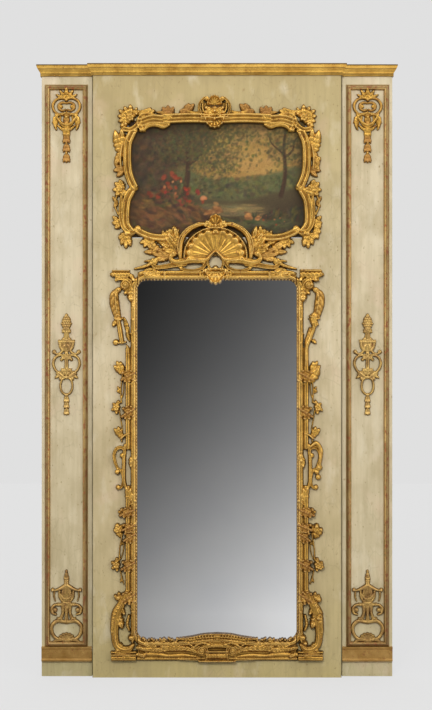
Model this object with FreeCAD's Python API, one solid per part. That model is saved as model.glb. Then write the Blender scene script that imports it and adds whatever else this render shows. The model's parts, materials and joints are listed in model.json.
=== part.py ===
"""Trumeau mirror: a painted and gilded wooden panel for a chimney breast, with a tall
mirror plate, a painted canvas above it, two narrow pilaster panels and a cornice.
Millimetres, +Z up, front towards -Y. The origin is on the wall plane, at the foot of
the panel, on its centre line."""
import FreeCAD
import Part
import functools
import math
import os

V = FreeCAD.Vector

# ---- driving dimensions: layers, from the wall outwards -----------------------------
BATTEN_T = 16.0            # back battens, flat on the wall
PACKING_T = 22.0           # packing stiles that carry the centre forward
CENTRE_T = 28.0            # joined frame of the centre
PILASTER_T = 24.0          # joined frames of the side panels
# ---- widths ---------------------------------------------------------------------------
PLATE_W = 652.0            # mirror plate
PLATE_CLEAR = 2.0          # room round the plate
STILE_W = 170.0            # stiles beside the mirror opening
PICTURE_STEP = 30.0        # how much wider the picture opening is on each side
SEAM_GAP = 4.0             # open seam between the centre and a side panel
PILASTER_W = 202.0
PACKING_W = 58.0
# ---- heights --------------------------------------------------------------------------
BOTTOM_RAIL_H = 144.0
PLATE_H = 1450.0
MIDDLE_RAIL_H = 160.0
PICTURE_OPEN_H = 468.0
TOP_RAIL_H = 228.0
# ---- joinery ----------------------------------------------------------------------------
TENON_L = 60.0
TENON_T = 10.0
SHOULDER = 20.0            # tenon edge to rail edge
MORTISE_REST = 2.0         # empty depth past a tenon's end
SIDE_TENON_L = 18.0        # tenons of the side panels
SIDE_SHOULDER = 10.0
TONGUE = 8.0               # field panel's hold in its grooves
FIELD_T = 8.0
FIELD_RECESS = 7.0         # field behind the front of its frame
# ---- battens and fixings ----------------------------------------------------------------
BATTEN_H = 90.0
BATTEN_INSET = 6.0         # batten ends behind the outer edges
LOW_BATTEN_Z = 700.0
HIGH_BATTEN_Z = 1640.0
TOP_BATTEN_DROP = 14.0     # top batten below the top edge
SCREW_R = 2.5
SCREW_HEAD_R = 5.0
SCREW_HEAD_H = 3.0
SCREW_BITE = 14.0          # how far a screw goes into the wood that it holds
HANGER_W = 90.0            # iron hanging plates
HANGER_H = 40.0
HANGER_T = 3.0
HANGER_HOLE_R = 6.0
HANGER_X = 300.0
HANGER_SCREW_X = 35.0
HANGER_WINDOW_R = 14.0     # room behind the hole for the hook
# ---- side panels: mouldings and plinth bands ----------------------------------------------
MARGIN_OUTER = 14.0        # plain edge outside the gilt moulding
MARGIN_INNER = 18.0
MARGIN_TOP = 34.0          # plain edge between cornice and moulding
MOULD_W = 18.0
MOULD_RISE = 9.0
MOULD_LAP = 6.0            # moulding's lap on the field
BASE_H = 62.0              # plain foot below the gilt band
BAND_H = 58.0
BAND_RISE = 14.0
BAND_FILLET = 7.0
# ---- cornice ------------------------------------------------------------------------------
CORNICE_H = 46.0
CORNICE_RISE = 20.0
CORNICE_FILLET = 6.0
CORNICE_BEAD = 8.0
CORNICE_FOOT = 5.0         # projection at its lower edge
# ---- mirror plate and its frame --------------------------------------------------------
PLATE_T = 5.0
SIGHT_LAP = 8.0            # frame's lap over the plate's edge
SIGHT_R = 36.0             # rounded corners of the sight edge
RAIL_W = 48.0              # side rails of the frame
RAIL_TOP_W = 40.0
RAIL_FOOT_W = 84.0
RAIL_RISE = 22.0
RAIL_GROUND = 9.0          # rise of the flats between the ribs
OUTER_RIB_W = 18.0
INNER_RIB_W = 16.0
RIB_GAP = 4.0
HUMP_HALF = 148.0          # swell of the sight edge in the middle of the foot
HUMP_RISE = 14.0
BLOCK_W = 12.0             # glazing blocks behind the plate
BLOCK_D = 12.0
BLOCK_L = 60.0
BLOCK_ROWS = 5
BOARD_T = 10.0             # planks behind the plate
BOARD_LAP = 25.0
BOARD_GAP = 1.0
BOARDS = 4
# ---- picture ------------------------------------------------------------------------------
PICTURE_CLEAR = 3.0
CANVAS_T = 1.0
STRETCHER_T = 18.0
STRETCHER_W = 44.0
KEY_LEG = 26.0
KEY_T = 3.0
TACK_R = 3.5
TACK_HEAD_T = 1.2
TACK_SHANK_R = 0.9
TACK_SHANK_L = 8.0
TACK_STEP = 90.0
PICTURE_GROUND = 8.0       # rise of the picture frame's flat ground
PICTURE_LAP = 14.0         # ground's lap over the opening's edge
PICTURE_BORDER = 14.0      # ground outside the opening's edge
# ---- carving ------------------------------------------------------------------------------
CARVED_LOW = 26.0          # rise of the carving's shoulders
CARVED_HIGH = 34.0         # rise of its ridges
STEM_W = 5.0               # strip beside the rail that the garland grows from
FRAME_LOW = 18.0           # the same on the picture frame
FRAME_HIGH = 28.0
CREST_LOW = 26.0           # and on the crest
CREST_HIGH = 42.0
DROP_LOW = 6.0             # and on the side panels' ornaments
DROP_HIGH = 13.0
RIDGE = 0.45               # ridge width over the stroke's width
SAME_PLACE = 0.01          # centres this close are one stroke and its own reflection
CREST_X = -6.0             # the crest stands a little left of the middle
CARTOUCHE_X = -10.0
MIDDLE_DROP_Z = 1250.0     # centre of the middle ornaments

# ---- worked out from the above ------------------------------------------------------------
BATTEN_Y = -BATTEN_T
PACKING_Y = BATTEN_Y - PACKING_T
CENTRE_Y = PACKING_Y - CENTRE_T
PILASTER_Y = BATTEN_Y - PILASTER_T
FIELD_Y = PILASTER_Y + FIELD_RECESS
OPEN_X = PLATE_W / 2 + PLATE_CLEAR
PICTURE_X = OPEN_X + PICTURE_STEP
CENTRE_X = OPEN_X + STILE_W
SIDE_X = CENTRE_X + SEAM_GAP
OUTER_X = SIDE_X + PILASTER_W
MIRROR_Z = BOTTOM_RAIL_H
MIRROR_TOP = MIRROR_Z + PLATE_H + 2 * PLATE_CLEAR
PICTURE_Z = MIRROR_TOP + MIDDLE_RAIL_H
PICTURE_TOP = PICTURE_Z + PICTURE_OPEN_H
TOTAL_H = PICTURE_TOP + TOP_RAIL_H
CORNICE_Z = TOTAL_H - CORNICE_H
BATTEN_X = OUTER_X - BATTEN_INSET
PACKING_X = CENTRE_X - PACKING_W
SIGHT_X = PLATE_W / 2 - SIGHT_LAP
SIGHT_Z = MIRROR_Z + PLATE_CLEAR + SIGHT_LAP
SIGHT_TOP = MIRROR_TOP - PLATE_CLEAR - SIGHT_LAP
RAIL_X = SIGHT_X + RAIL_W
RAIL_TOP = SIGHT_TOP + RAIL_TOP_W
RAIL_FOOT = SIGHT_Z - RAIL_FOOT_W
PLATE_BACK = CENTRE_Y + PLATE_T
BAND_TOP = BASE_H + BAND_H
FIELD_LEFT = SIDE_X + MARGIN_INNER + MOULD_W - MOULD_LAP
FIELD_RIGHT = OUTER_X - MARGIN_OUTER - MOULD_W + MOULD_LAP
FIELD_FOOT = BAND_TOP + MOULD_W - MOULD_LAP
FIELD_TOP = CORNICE_Z - MARGIN_TOP - MOULD_W + MOULD_LAP
DROP_X = (FIELD_LEFT + FIELD_RIGHT) / 2


# ---- plain solids -------------------------------------------------------------------------
def block(x, y, z):
    """A box between pairs of limits."""
    (x0, x1), (y0, y1), (z0, z1) = sorted(x), sorted(y), sorted(z)
    return Part.makeBox(x1 - x0, y1 - y0, z1 - z0, V(x0, y0, z0))


def pin(x, y, z, radius, depth, cone=None):
    """A round bar that runs from a point towards the front."""
    if cone is None:
        return Part.makeCylinder(radius, depth, V(x, y, z), V(0, -1, 0))
    return Part.makeCone(radius, cone, depth, V(x, y, z), V(0, -1, 0))


def flip(shape):
    """The same piece on the other side of the centre line."""
    return shape.mirror(V(0, 0, 0), V(1, 0, 0))


def plan_prism(points, z):
    """A solid that stands on an outline of (x, y) points."""
    corners = [V(x, y, z[0]) for x, y in points]
    return Part.Face(Part.makePolygon(corners + corners[:1])).extrude(V(0, 0, z[1] - z[0]))


def front_prism(points, y):
    """A solid with an outline of (x, z) points and its faces towards front and back."""
    corners = [V(x, y[0], z) for x, z in points]
    return Part.Face(Part.makePolygon(corners + corners[:1])).extrude(V(0, y[1] - y[0], 0))


def joined(shapes):
    """One solid from pieces that meet."""
    return shapes[0].multiFuse(shapes[1:]).removeSplitter()


# ---- flat outlines for carving, in (across, up) -------------------------------------------
def spot(p):
    return V(p[0], 0, p[1])


def ribbon(points, width, narrow=1.0):
    """A strip along a smooth line of points, with round ends."""
    widths = [w * narrow / 2 for w in (width if isinstance(width, list) else [width] * len(points))]
    left, right = [], []
    for i, (x, z) in enumerate(points):
        (x0, z0), (x1, z1) = points[max(i - 1, 0)], points[min(i + 1, len(points) - 1)]
        length = math.hypot(x1 - x0, z1 - z0)
        side = V(-(z1 - z0) / length, 0, (x1 - x0) / length) * widths[i]
        left.append(V(x, 0, z) + side)
        right.append(V(x, 0, z) - side)
    edges = [smooth(left), cap(points[-2], points[-1], widths[-1], left[-1], right[-1]),
             smooth(right[::-1]), cap(points[1], points[0], widths[0], right[0], left[0])]
    return Part.Face(Part.Wire(edges))


def smooth(points):
    if len(points) == 2:
        return Part.makeLine(points[0], points[1])
    line = Part.BSplineCurve()
    line.interpolate(points)
    return line.toShape()


def cap(before, end, reach, first, last):
    """The half circle that closes a strip's end."""
    way = (spot(end) - spot(before)).normalize()
    return Part.Arc(first, spot(end) + way * reach, last).toShape()


def disc(centre, radius, narrow=1.0):
    return Part.Face(Part.Wire(Part.makeCircle(radius * narrow, spot(centre), V(0, -1, 0))))


def lobe(base, tip, width, narrow=1.0):
    """A pointed leaf blade between two points."""
    start, end = spot(base), spot(tip)
    way = end - start
    side = V(-way.z, 0, way.x).normalize() * (width * narrow / 2)
    middle = start + way * 0.42
    return Part.Face(Part.Wire([Part.Arc(start, middle + side, end).toShape(),
                                Part.Arc(end, middle - side, start).toShape()]))


def spray(base, tip, width, narrow=1.0):
    """A leaf of three blades that spring from a small knob: a long one between two that lean out."""
    (x0, z0), (x1, z1) = base, tip
    blades = [lobe(base, tip, width * 0.6, narrow), disc(base, width * 0.15, narrow)]
    for lean in (-0.75, 0.75):
        c, s = math.cos(lean) * 0.72, math.sin(lean) * 0.72
        dx, dz = x1 - x0, z1 - z0
        blades.append(lobe(base, (x0 + c * dx - s * dz, z0 + s * dx + c * dz), width * 0.5, narrow))
    return blades


def fan(hinge, across, up, blades, narrow=1.0):
    """A shell: blades that spread from a hinge to an oval rim."""
    found = []
    for i in range(blades):
        turn = math.pi * (i + 0.5) / blades
        tip = (hinge[0] + across * math.cos(turn), hinge[1] + up * math.sin(turn))
        width = (across + up) / 2 * math.pi / blades
        found.append(ribbon([hinge, tip], [width * 0.5, width * 1.25], narrow))
    return found


def slab(low, high, narrow=1.0):
    """An upright rectangle, which narrows towards its middle."""
    (x0, z0), (x1, z1) = low, high
    cx, cz = (x0 + x1) / 2, (z0 + z1) / 2
    hx, hz = abs(x1 - x0) / 2 * narrow, abs(z1 - z0) / 2 * narrow
    corners = [spot(p) for p in ((cx - hx, cz - hz), (cx + hx, cz - hz), (cx + hx, cz + hz), (cx - hx, cz + hz))]
    return Part.Face(Part.makePolygon(corners + corners[:1]))


def oval(centre, across, up, band, narrow=1.0):
    """An oval ring."""
    edges = []
    for grow in (band * narrow / 2, -band * narrow / 2):
        a, b = across + grow, up + grow
        long_way = max(a, b)
        turned = (V(1, 0, 0), V(0, 0, 1)) if a >= b else (V(0, 0, 1), V(1, 0, 0))
        c = spot(centre)
        ellipse = Part.Ellipse(c + turned[0] * long_way, c + turned[1] * min(a, b), c)
        edges.append(Part.Wire(ellipse.toShape()))
    outer, inner = (Part.Face(e) for e in edges)
    return outer.cut(inner).Faces[0]


def drawn(strokes, narrow=1.0):
    """Faces of a list of strokes, each a function followed by its own numbers."""
    faces = []
    for draw, *numbers in strokes:
        made = draw(*numbers, narrow)
        faces += made if isinstance(made, list) else [made]
    return faces


def fronted(face):
    """A flat face with its normal towards the front."""
    return face if face.normalAt(0, 0).y < 0 else face.reversed()


def merged(faces):
    """Separate flat regions from faces that overlap."""
    faces = [fronted(face) for face in faces]
    if len(faces) == 1:
        return faces
    return Part.makeShell(faces[0].multiFuse(faces[1:]).Faces).removeSplitter().Faces


def relief(levels, back):
    """Carving in steps: each level is a list of flat faces and how far they stand out."""
    bodies = [face.extrude(V(0, -rise, 0)) for faces, rise in levels for face in merged(faces)]
    whole = joined(bodies)
    whole.translate(V(0, back, 0))
    return whole


def largest(shape):
    """The piece itself, without the crumbs that carving leaves."""
    return max(shape.Solids, key=lambda solid: solid.Volume)


def scribed(shape, others):
    """A piece cut to fit round its neighbours."""
    return largest(shape.cut(others))


def both(faces):
    """Faces with their reflections in the middle line, where those aren't there already."""
    kept = list(faces)
    for face in faces:
        c = face.CenterOfMass
        twins = [o for o in kept if (o.CenterOfMass - V(-c.x, c.y, c.z)).Length < SAME_PLACE]
        if not twins:
            kept.append(flip(face))
    return kept


def carved(strokes, back, low, high):
    """A paired carving: shoulders over its whole outline, and ridges that stand higher."""
    return relief([(both(drawn(strokes)), low), (both(drawn(strokes, RIDGE)), high)], back)


# ---- joinery --------------------------------------------------------------------------------
def tenoned_rail(x, y, z, length, thick, shoulder):
    """A rail with a tenon at both ends: x holds its shoulders."""
    middle = (y[0] + y[1]) / 2
    tongue = block((x[0] - length, x[1] + length), (middle - thick / 2, middle + thick / 2),
                   (z[0] + shoulder, z[1] - shoulder))
    return joined([block(x, y, z), tongue])


def mortise(x, y, z, length, thick, shoulder, way):
    """The hole for a tenon that enters a stile at x and runs in the given direction."""
    middle = (y[0] + y[1]) / 2
    return block((x, x + way * (length + MORTISE_REST)), (middle - thick / 2, middle + thick / 2),
                 (z[0] + shoulder, z[1] - shoulder))


CENTRE_DEPTH = (CENTRE_Y, PACKING_Y)
CENTRE_RAILS = {
    "bottom": (OPEN_X, (0.0, MIRROR_Z)),
    "middle": (OPEN_X, (MIRROR_TOP, PICTURE_Z)),
    "top": (PICTURE_X, (PICTURE_TOP, TOTAL_H)),
}


def centre_rail(place):
    x, z = CENTRE_RAILS[place]
    rail = tenoned_rail((-x, x), CENTRE_DEPTH, z, TENON_L, TENON_T, SHOULDER)
    return rail.cut(Part.makeCompound(board_screws())) if place != "top" else rail


def centre_stile():
    """The right stile: narrower beside the picture, with three mortises."""
    stile = block((OPEN_X, CENTRE_X), CENTRE_DEPTH, (0, TOTAL_H))
    holes = [block((OPEN_X, PICTURE_X), CENTRE_DEPTH, (PICTURE_Z, TOTAL_H))]
    for x, z in CENTRE_RAILS.values():
        holes.append(mortise(x, CENTRE_DEPTH, z, TENON_L, TENON_T, SHOULDER, 1))
    return stile.cut(holes)


def packing_stile():
    stile = block((PACKING_X, CENTRE_X), (PACKING_Y, BATTEN_Y), (0, TOTAL_H))
    return stile.cut(Part.makeCompound(frame_screws()))


# ---- battens and fixings ----------------------------------------------------------------------
BATTEN_FEET = {
    "bottom": 0.0,
    "lower": LOW_BATTEN_Z,
    "upper": HIGH_BATTEN_Z,
    "top": TOTAL_H - TOP_BATTEN_DROP - BATTEN_H,
}
HANGER_Z = BATTEN_FEET["top"] + BATTEN_H / 2
SCREW_XS = ((PACKING_X + CENTRE_X) / 2, (SIDE_X + FIELD_LEFT - TONGUE) / 2, (FIELD_RIGHT + TONGUE + BATTEN_X) / 2)


def screw(x, y, z, through):
    """A countersunk screw that runs to the front from its head's flat face."""
    head = pin(x, y, z, SCREW_HEAD_R, SCREW_HEAD_H, cone=SCREW_R)
    shank = pin(x, y - SCREW_HEAD_H, z, SCREW_R, through + SCREW_BITE - SCREW_HEAD_H)
    return joined([head, shank])


def frame_screws():
    """Screws through the battens into the stiles of all three frames."""
    return [screw(side * x, 0, foot + BATTEN_H / 2, BATTEN_T)
            for foot in BATTEN_FEET.values() for x in SCREW_XS for side in (-1, 1)]


def board_xs():
    """The planks' edges, from left to right."""
    half = OPEN_X + BOARD_LAP
    width = (2 * half - (BOARDS - 1) * BOARD_GAP) / BOARDS
    return [(-half + i * (width + BOARD_GAP), -half + i * (width + BOARD_GAP) + width) for i in range(BOARDS)]


def board_screws():
    """One screw at each end of every plank, into the rails above and below the plate."""
    ends = (MIRROR_Z - BOARD_LAP / 2, MIRROR_TOP + BOARD_LAP / 2)
    return [screw((a + b) / 2, PACKING_Y + BOARD_T, z, BOARD_T) for a, b in board_xs() for z in ends]


def hanger_screws():
    return [screw(side * HANGER_X + x, 0, HANGER_Z, HANGER_T)
            for side in (-1, 1) for x in (-HANGER_SCREW_X, HANGER_SCREW_X)]


def screws():
    return Part.makeCompound(frame_screws() + board_screws() + hanger_screws())


def hanging_plates():
    """Two iron plates with a hole for a wall hook, let in flush with the top batten."""
    plates = []
    for side in (-1, 1):
        x = side * HANGER_X
        plate = block((x - HANGER_W / 2, x + HANGER_W / 2), (-HANGER_T, 0),
                      (HANGER_Z - HANGER_H / 2, HANGER_Z + HANGER_H / 2))
        plates.append(plate.cut(pin(x, 0, HANGER_Z, HANGER_HOLE_R, HANGER_T)))
    return Part.makeCompound(plates).cut(Part.makeCompound(hanger_screws()))


def back_batten(place):
    foot = BATTEN_FEET[place]
    batten = block((-BATTEN_X, BATTEN_X), (BATTEN_Y, 0), (foot, foot + BATTEN_H))
    holes = frame_screws()
    if place == "top":
        holes += hanger_screws()
        for side in (-1, 1):
            x = side * HANGER_X
            holes.append(block((x - HANGER_W / 2, x + HANGER_W / 2), (-HANGER_T, 0),
                               (HANGER_Z - HANGER_H / 2, HANGER_Z + HANGER_H / 2)))
            holes.append(pin(x, 0, HANGER_Z, HANGER_WINDOW_R, BATTEN_T))
    return batten.cut(holes)


# ---- side panels -----------------------------------------------------------------------------
SIDE_DEPTH = (PILASTER_Y, BATTEN_Y)
FIELD_DEPTH = (FIELD_Y, FIELD_Y + FIELD_T)
SIDE_RAILS = {"top": (FIELD_TOP, TOTAL_H), "bottom": (0.0, FIELD_FOOT)}


def field_grooves():
    """The room that the field panel fills, tongues and all."""
    return block((FIELD_LEFT - TONGUE, FIELD_RIGHT + TONGUE), FIELD_DEPTH,
                 (FIELD_FOOT - TONGUE, FIELD_TOP + TONGUE))


def pilaster_field():
    return field_grooves()


def pilaster_rail(place):
    z = SIDE_RAILS[place]
    rail = tenoned_rail((FIELD_LEFT, FIELD_RIGHT), SIDE_DEPTH, z, SIDE_TENON_L, FIELD_T, SIDE_SHOULDER)
    return rail.cut([field_grooves()] + frame_screws())


def pilaster_stile(x, entry, way):
    """A side panel's stile, grooved for the field and mortised for both rails."""
    stile = block(x, SIDE_DEPTH, (0, TOTAL_H))
    holes = [field_grooves()] + frame_screws()
    for z in SIDE_RAILS.values():
        holes.append(mortise(entry, SIDE_DEPTH, z, SIDE_TENON_L, FIELD_T, SIDE_SHOULDER, way))
    return stile.cut(holes)


def pilaster_outer_stile():
    return pilaster_stile((FIELD_RIGHT, OUTER_X), FIELD_RIGHT, 1)


def pilaster_inner_stile():
    return pilaster_stile((SIDE_X, FIELD_LEFT), FIELD_LEFT, -1)


def mould_section(edge, way):
    """The moulding's section beside the field's edge, rebated over the frame's front."""
    outer, inner = edge - way * (MOULD_W - MOULD_LAP), edge + way * MOULD_LAP
    top = PILASTER_Y - MOULD_RISE
    corners = [V(inner, PILASTER_Y, 0), V(inner, FIELD_Y, 0), V(edge, FIELD_Y, 0), V(edge, PILASTER_Y, 0),
               V(outer, PILASTER_Y, 0)]
    crown = Part.Arc(corners[-1], V((outer + inner) / 2, top, 0), corners[0]).toShape()
    return Part.Wire([Part.makePolygon(corners), crown])


@functools.cache
def pilaster_moulding():
    """The gilt moulding round the field: four mitred lengths, glued into one frame."""
    lengths = []
    centre_x, centre_z = (FIELD_LEFT + FIELD_RIGHT) / 2, (FIELD_FOOT + FIELD_TOP) / 2
    half_x, half_z = (FIELD_RIGHT - FIELD_LEFT) / 2, (FIELD_TOP - FIELD_FOOT) / 2
    reach = MOULD_W
    for way in (1, -1):
        upright = Part.Face(mould_section(centre_x - way * half_x, way))
        upright = upright.extrude(V(0, 0, 2 * (half_z + reach)))
        upright.translate(V(0, 0, centre_z - half_z - reach))
        edge = centre_x - way * half_x
        near, far = edge - way * reach, edge + way * reach
        keep = front_prism([(near, FIELD_FOOT - reach), (far, FIELD_FOOT + reach),
                            (far, FIELD_TOP - reach), (near, FIELD_TOP + reach)],
                           (FIELD_Y, PILASTER_Y - MOULD_RISE - 1))
        lengths.append(upright.common(keep))
    for way in (1, -1):
        flat = Part.Face(mould_section(-way * half_z, way))
        flat = flat.extrude(V(0, 0, 2 * (half_x + reach)))
        flat.rotate(V(0, 0, 0), V(0, 1, 0), -90)
        flat.translate(V(centre_x + half_x + reach, 0, centre_z))
        edge = centre_z - way * half_z
        near, far = edge - way * reach, edge + way * reach
        keep = front_prism([(FIELD_LEFT - reach, near), (FIELD_LEFT + reach, far),
                            (FIELD_RIGHT - reach, far), (FIELD_RIGHT + reach, near)],
                           (FIELD_Y, PILASTER_Y - MOULD_RISE - 1))
        lengths.append(flat.common(keep))
    return joined(lengths)


def plinth_band():
    """The gilt band across the foot of a side panel, with a fillet along both edges."""
    front = PILASTER_Y - BAND_RISE
    corners = [(PILASTER_Y, BASE_H), (front, BASE_H), (front, BASE_H + BAND_FILLET),
               (front + BAND_FILLET / 2, BASE_H + BAND_FILLET * 1.5),
               (front + BAND_FILLET / 2, BAND_TOP - BAND_FILLET * 1.5),
               (front, BAND_TOP - BAND_FILLET), (front, BAND_TOP), (PILASTER_Y, BAND_TOP)]
    points = [V(SIDE_X, y, z) for y, z in corners]
    return Part.Face(Part.makePolygon(points + points[:1])).extrude(V(PILASTER_W, 0, 0))


# ---- cornice -----------------------------------------------------------------------------------
def cornice_section():
    """Half a cornice's outline as (projection, height): bead, wave and top fillet."""
    bead, fillet = CORNICE_Z + CORNICE_BEAD, TOTAL_H - CORNICE_FILLET
    middle = (CORNICE_FOOT + CORNICE_RISE) / 2
    wave = Part.BSplineCurve()
    rise = fillet - bead
    wave.interpolate([V(CORNICE_FOOT, 0, bead), V(CORNICE_FOOT + 1, 0, bead + rise * 0.2),
                      V(middle, 0, bead + rise * 0.52), V(CORNICE_RISE - 2, 0, bead + rise * 0.85),
                      V(CORNICE_RISE, 0, fillet)])
    return [Part.makePolygon([V(0, 0, CORNICE_Z), V(CORNICE_FOOT, 0, CORNICE_Z), V(CORNICE_FOOT, 0, bead)]),
            wave.toShape(),
            Part.makePolygon([V(CORNICE_RISE, 0, fillet), V(CORNICE_RISE, 0, TOTAL_H), V(0, 0, TOTAL_H),
                              V(0, 0, CORNICE_Z)])]


def cornice_length(length):
    """A straight length along +Y whose back is the plane x = 0."""
    return Part.Face(Part.Wire(cornice_section())).extrude(V(0, length, 0))


def cornice_front(x0, x1, y):
    """A length across the front, from x0 to x1, on the plane y."""
    piece = cornice_length(x1 - x0)
    piece.rotate(V(0, 0, 0), V(0, 0, 1), -90)
    piece.translate(V(x0, y, 0))
    return piece


def mitre(corner_x, corner_y, front):
    """Half of the space at an outer corner, on the front's or on the return's side of the mitre."""
    reach = CORNICE_RISE * 2
    line = [(corner_x - reach, corner_y + reach), (corner_x + reach, corner_y - reach)]
    far = (corner_x - OUTER_X * 2, corner_y - reach) if front else (corner_x + reach, corner_y + reach)
    extra = [(corner_x - OUTER_X * 2, corner_y + reach)] if front else []
    return plan_prism(line + [far] + extra, (CORNICE_Z - 1, TOTAL_H + 1))


def cornice_return(x, y_front, y_back):
    """A short length along the side at x, mitred to the front."""
    piece = cornice_length(y_back - y_front + CORNICE_RISE)
    piece.translate(V(x, y_front - CORNICE_RISE, 0))
    return piece.common(mitre(x, y_front, False))


def cornice_centre():
    reach = CENTRE_X + CORNICE_RISE
    piece = cornice_front(-reach, reach, CENTRE_Y).common(mitre(CENTRE_X, CENTRE_Y, True))
    return flip(flip(piece).common(mitre(CENTRE_X, CENTRE_Y, True)))


def centre_return():
    """The return from the centre's cornice back to the side panel."""
    return cornice_return(CENTRE_X, CENTRE_Y, PILASTER_Y)


def cornice_side():
    """The length over a side panel, coped round the centre's return."""
    piece = cornice_front(SIDE_X, OUTER_X + CORNICE_RISE, PILASTER_Y).common(mitre(OUTER_X, PILASTER_Y, True))
    return piece.cut(centre_return())


def cornice_returns():
    right = [centre_return(), cornice_return(OUTER_X, PILASTER_Y, BATTEN_Y)]
    return Part.makeCompound(right + [flip(piece) for piece in right])


# ---- mirror -------------------------------------------------------------------------------------
def mirror_glass():
    foot = MIRROR_Z + PLATE_CLEAR
    return block((-PLATE_W / 2, PLATE_W / 2), (CENTRE_Y, PLATE_BACK), (foot, foot + PLATE_H))


def mirror_backboards():
    planks = [block(x, (PACKING_Y, PACKING_Y + BOARD_T), (MIRROR_Z - BOARD_LAP, MIRROR_TOP + BOARD_LAP))
              for x in board_xs()]
    return Part.makeCompound([plank.cut(board_screws()) for plank in planks])


def glazing_blocks():
    """Blocks glued to the opening's sides behind the plate, and two that it stands on."""
    blocks = []
    pitch = PLATE_H / BLOCK_ROWS
    for side in (-1, 1):
        for row in range(BLOCK_ROWS):
            middle = MIRROR_Z + PLATE_CLEAR + pitch * (row + 0.5)
            blocks.append(block((side * (OPEN_X - BLOCK_W), side * OPEN_X), (PLATE_BACK, PLATE_BACK + BLOCK_D),
                                (middle - BLOCK_L / 2, middle + BLOCK_L / 2)))
        quarter = side * PLATE_W / 4
        blocks.append(block((quarter - BLOCK_L / 2, quarter + BLOCK_L / 2), (CENTRE_Y, PLATE_BACK + BLOCK_D),
                            (MIRROR_Z, MIRROR_Z + PLATE_CLEAR)))
    return Part.makeCompound(blocks)


def rib(start, width):
    """A rib on a rail's section: upright sides up to a half round."""
    shoulder, end = RAIL_RISE - width / 2, start + width
    return [Part.makeLine(V(start, RAIL_GROUND, 0), V(start, shoulder, 0)),
            Part.Arc(V(start, shoulder, 0), V(start + width / 2, RAIL_RISE, 0), V(end, shoulder, 0)).toShape(),
            Part.makeLine(V(end, shoulder, 0), V(end, RAIL_GROUND, 0))]


def rail_section(width):
    """Section of a frame rail as (from the sight edge, rise): sight flat, two ribs and a gap."""
    inner = width - OUTER_RIB_W - RIB_GAP - INNER_RIB_W
    gap = inner + INNER_RIB_W
    edges = [Part.makePolygon([V(width, RAIL_GROUND, 0), V(width, 0, 0), V(0, 0, 0), V(0, RAIL_GROUND, 0),
                               V(inner, RAIL_GROUND, 0)])]
    edges += rib(inner, INNER_RIB_W)
    edges.append(Part.makeLine(V(gap, RAIL_GROUND, 0), V(gap + RIB_GAP, RAIL_GROUND, 0)))
    edges += rib(gap + RIB_GAP, OUTER_RIB_W)
    return Part.Face(Part.Wire(edges))


def mirror_frame_side():
    """A side rail, from the frame's foot to its top."""
    rail = rail_section(RAIL_W).extrude(V(0, 0, RAIL_TOP - RAIL_FOOT))
    rail = rail.mirror(V(0, 0, 0), V(0, 1, 0))
    rail.translate(V(SIGHT_X, CENTRE_Y, RAIL_FOOT))
    return rail


def corner_fill(x_way, z_way, z):
    """The piece between a square and a rounded corner of the sight edge."""
    x = x_way * SIGHT_X
    corner = (x, z)
    centre = (x - x_way * SIGHT_R, z - z_way * SIGHT_R)
    diagonal = SIGHT_R / math.sqrt(2)
    edges = [Part.makeLine(spot(corner), spot((centre[0], z))),
             Part.Arc(spot((centre[0], z)), spot((centre[0] + x_way * diagonal, centre[1] + z_way * diagonal)),
                      spot((x, centre[1]))).toShape(),
             Part.makeLine(spot((x, centre[1])), spot(corner))]
    fill = Part.Face(Part.Wire(edges)).extrude(V(0, -RAIL_GROUND, 0))
    fill.translate(V(0, CENTRE_Y, 0))
    return fill


def cross_rail(width, up):
    """A rail across the frame, whose section runs up or down from the sight edge."""
    rail = rail_section(width).extrude(V(0, 0, 2 * SIGHT_X))
    rail.rotate(V(0, 0, 0), V(0, 1, 0), -90)
    rail = rail.mirror(V(0, 0, 0), V(0, 1, 0))
    rail.translate(V(SIGHT_X, CENTRE_Y, SIGHT_TOP))
    if up:
        return rail
    rail.translate(V(0, 0, -SIGHT_TOP))
    rail = rail.mirror(V(0, 0, 0), V(0, 0, 1))
    rail.translate(V(0, 0, SIGHT_Z))
    return rail


def mirror_frame_top():
    fills = [corner_fill(side, 1, SIGHT_TOP) for side in (-1, 1)]
    return joined([cross_rail(RAIL_TOP_W, True)] + fills)


def foot_hump():
    """The low swell of the sight edge in the middle of the foot rail."""
    start, end = (-HUMP_HALF, SIGHT_Z), (HUMP_HALF, SIGHT_Z)
    edges = [Part.Arc(spot(start), spot((0, SIGHT_Z + HUMP_RISE)), spot(end)).toShape(),
             Part.makeLine(spot(end), spot(start))]
    hump = Part.Face(Part.Wire(edges)).extrude(V(0, -RAIL_GROUND, 0))
    hump.translate(V(0, CENTRE_Y, 0))
    return hump


def mirror_frame_bottom():
    fills = [corner_fill(side, -1, SIGHT_Z) for side in (-1, 1)]
    return joined([cross_rail(RAIL_FOOT_W, False), foot_hump()] + fills)


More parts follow.
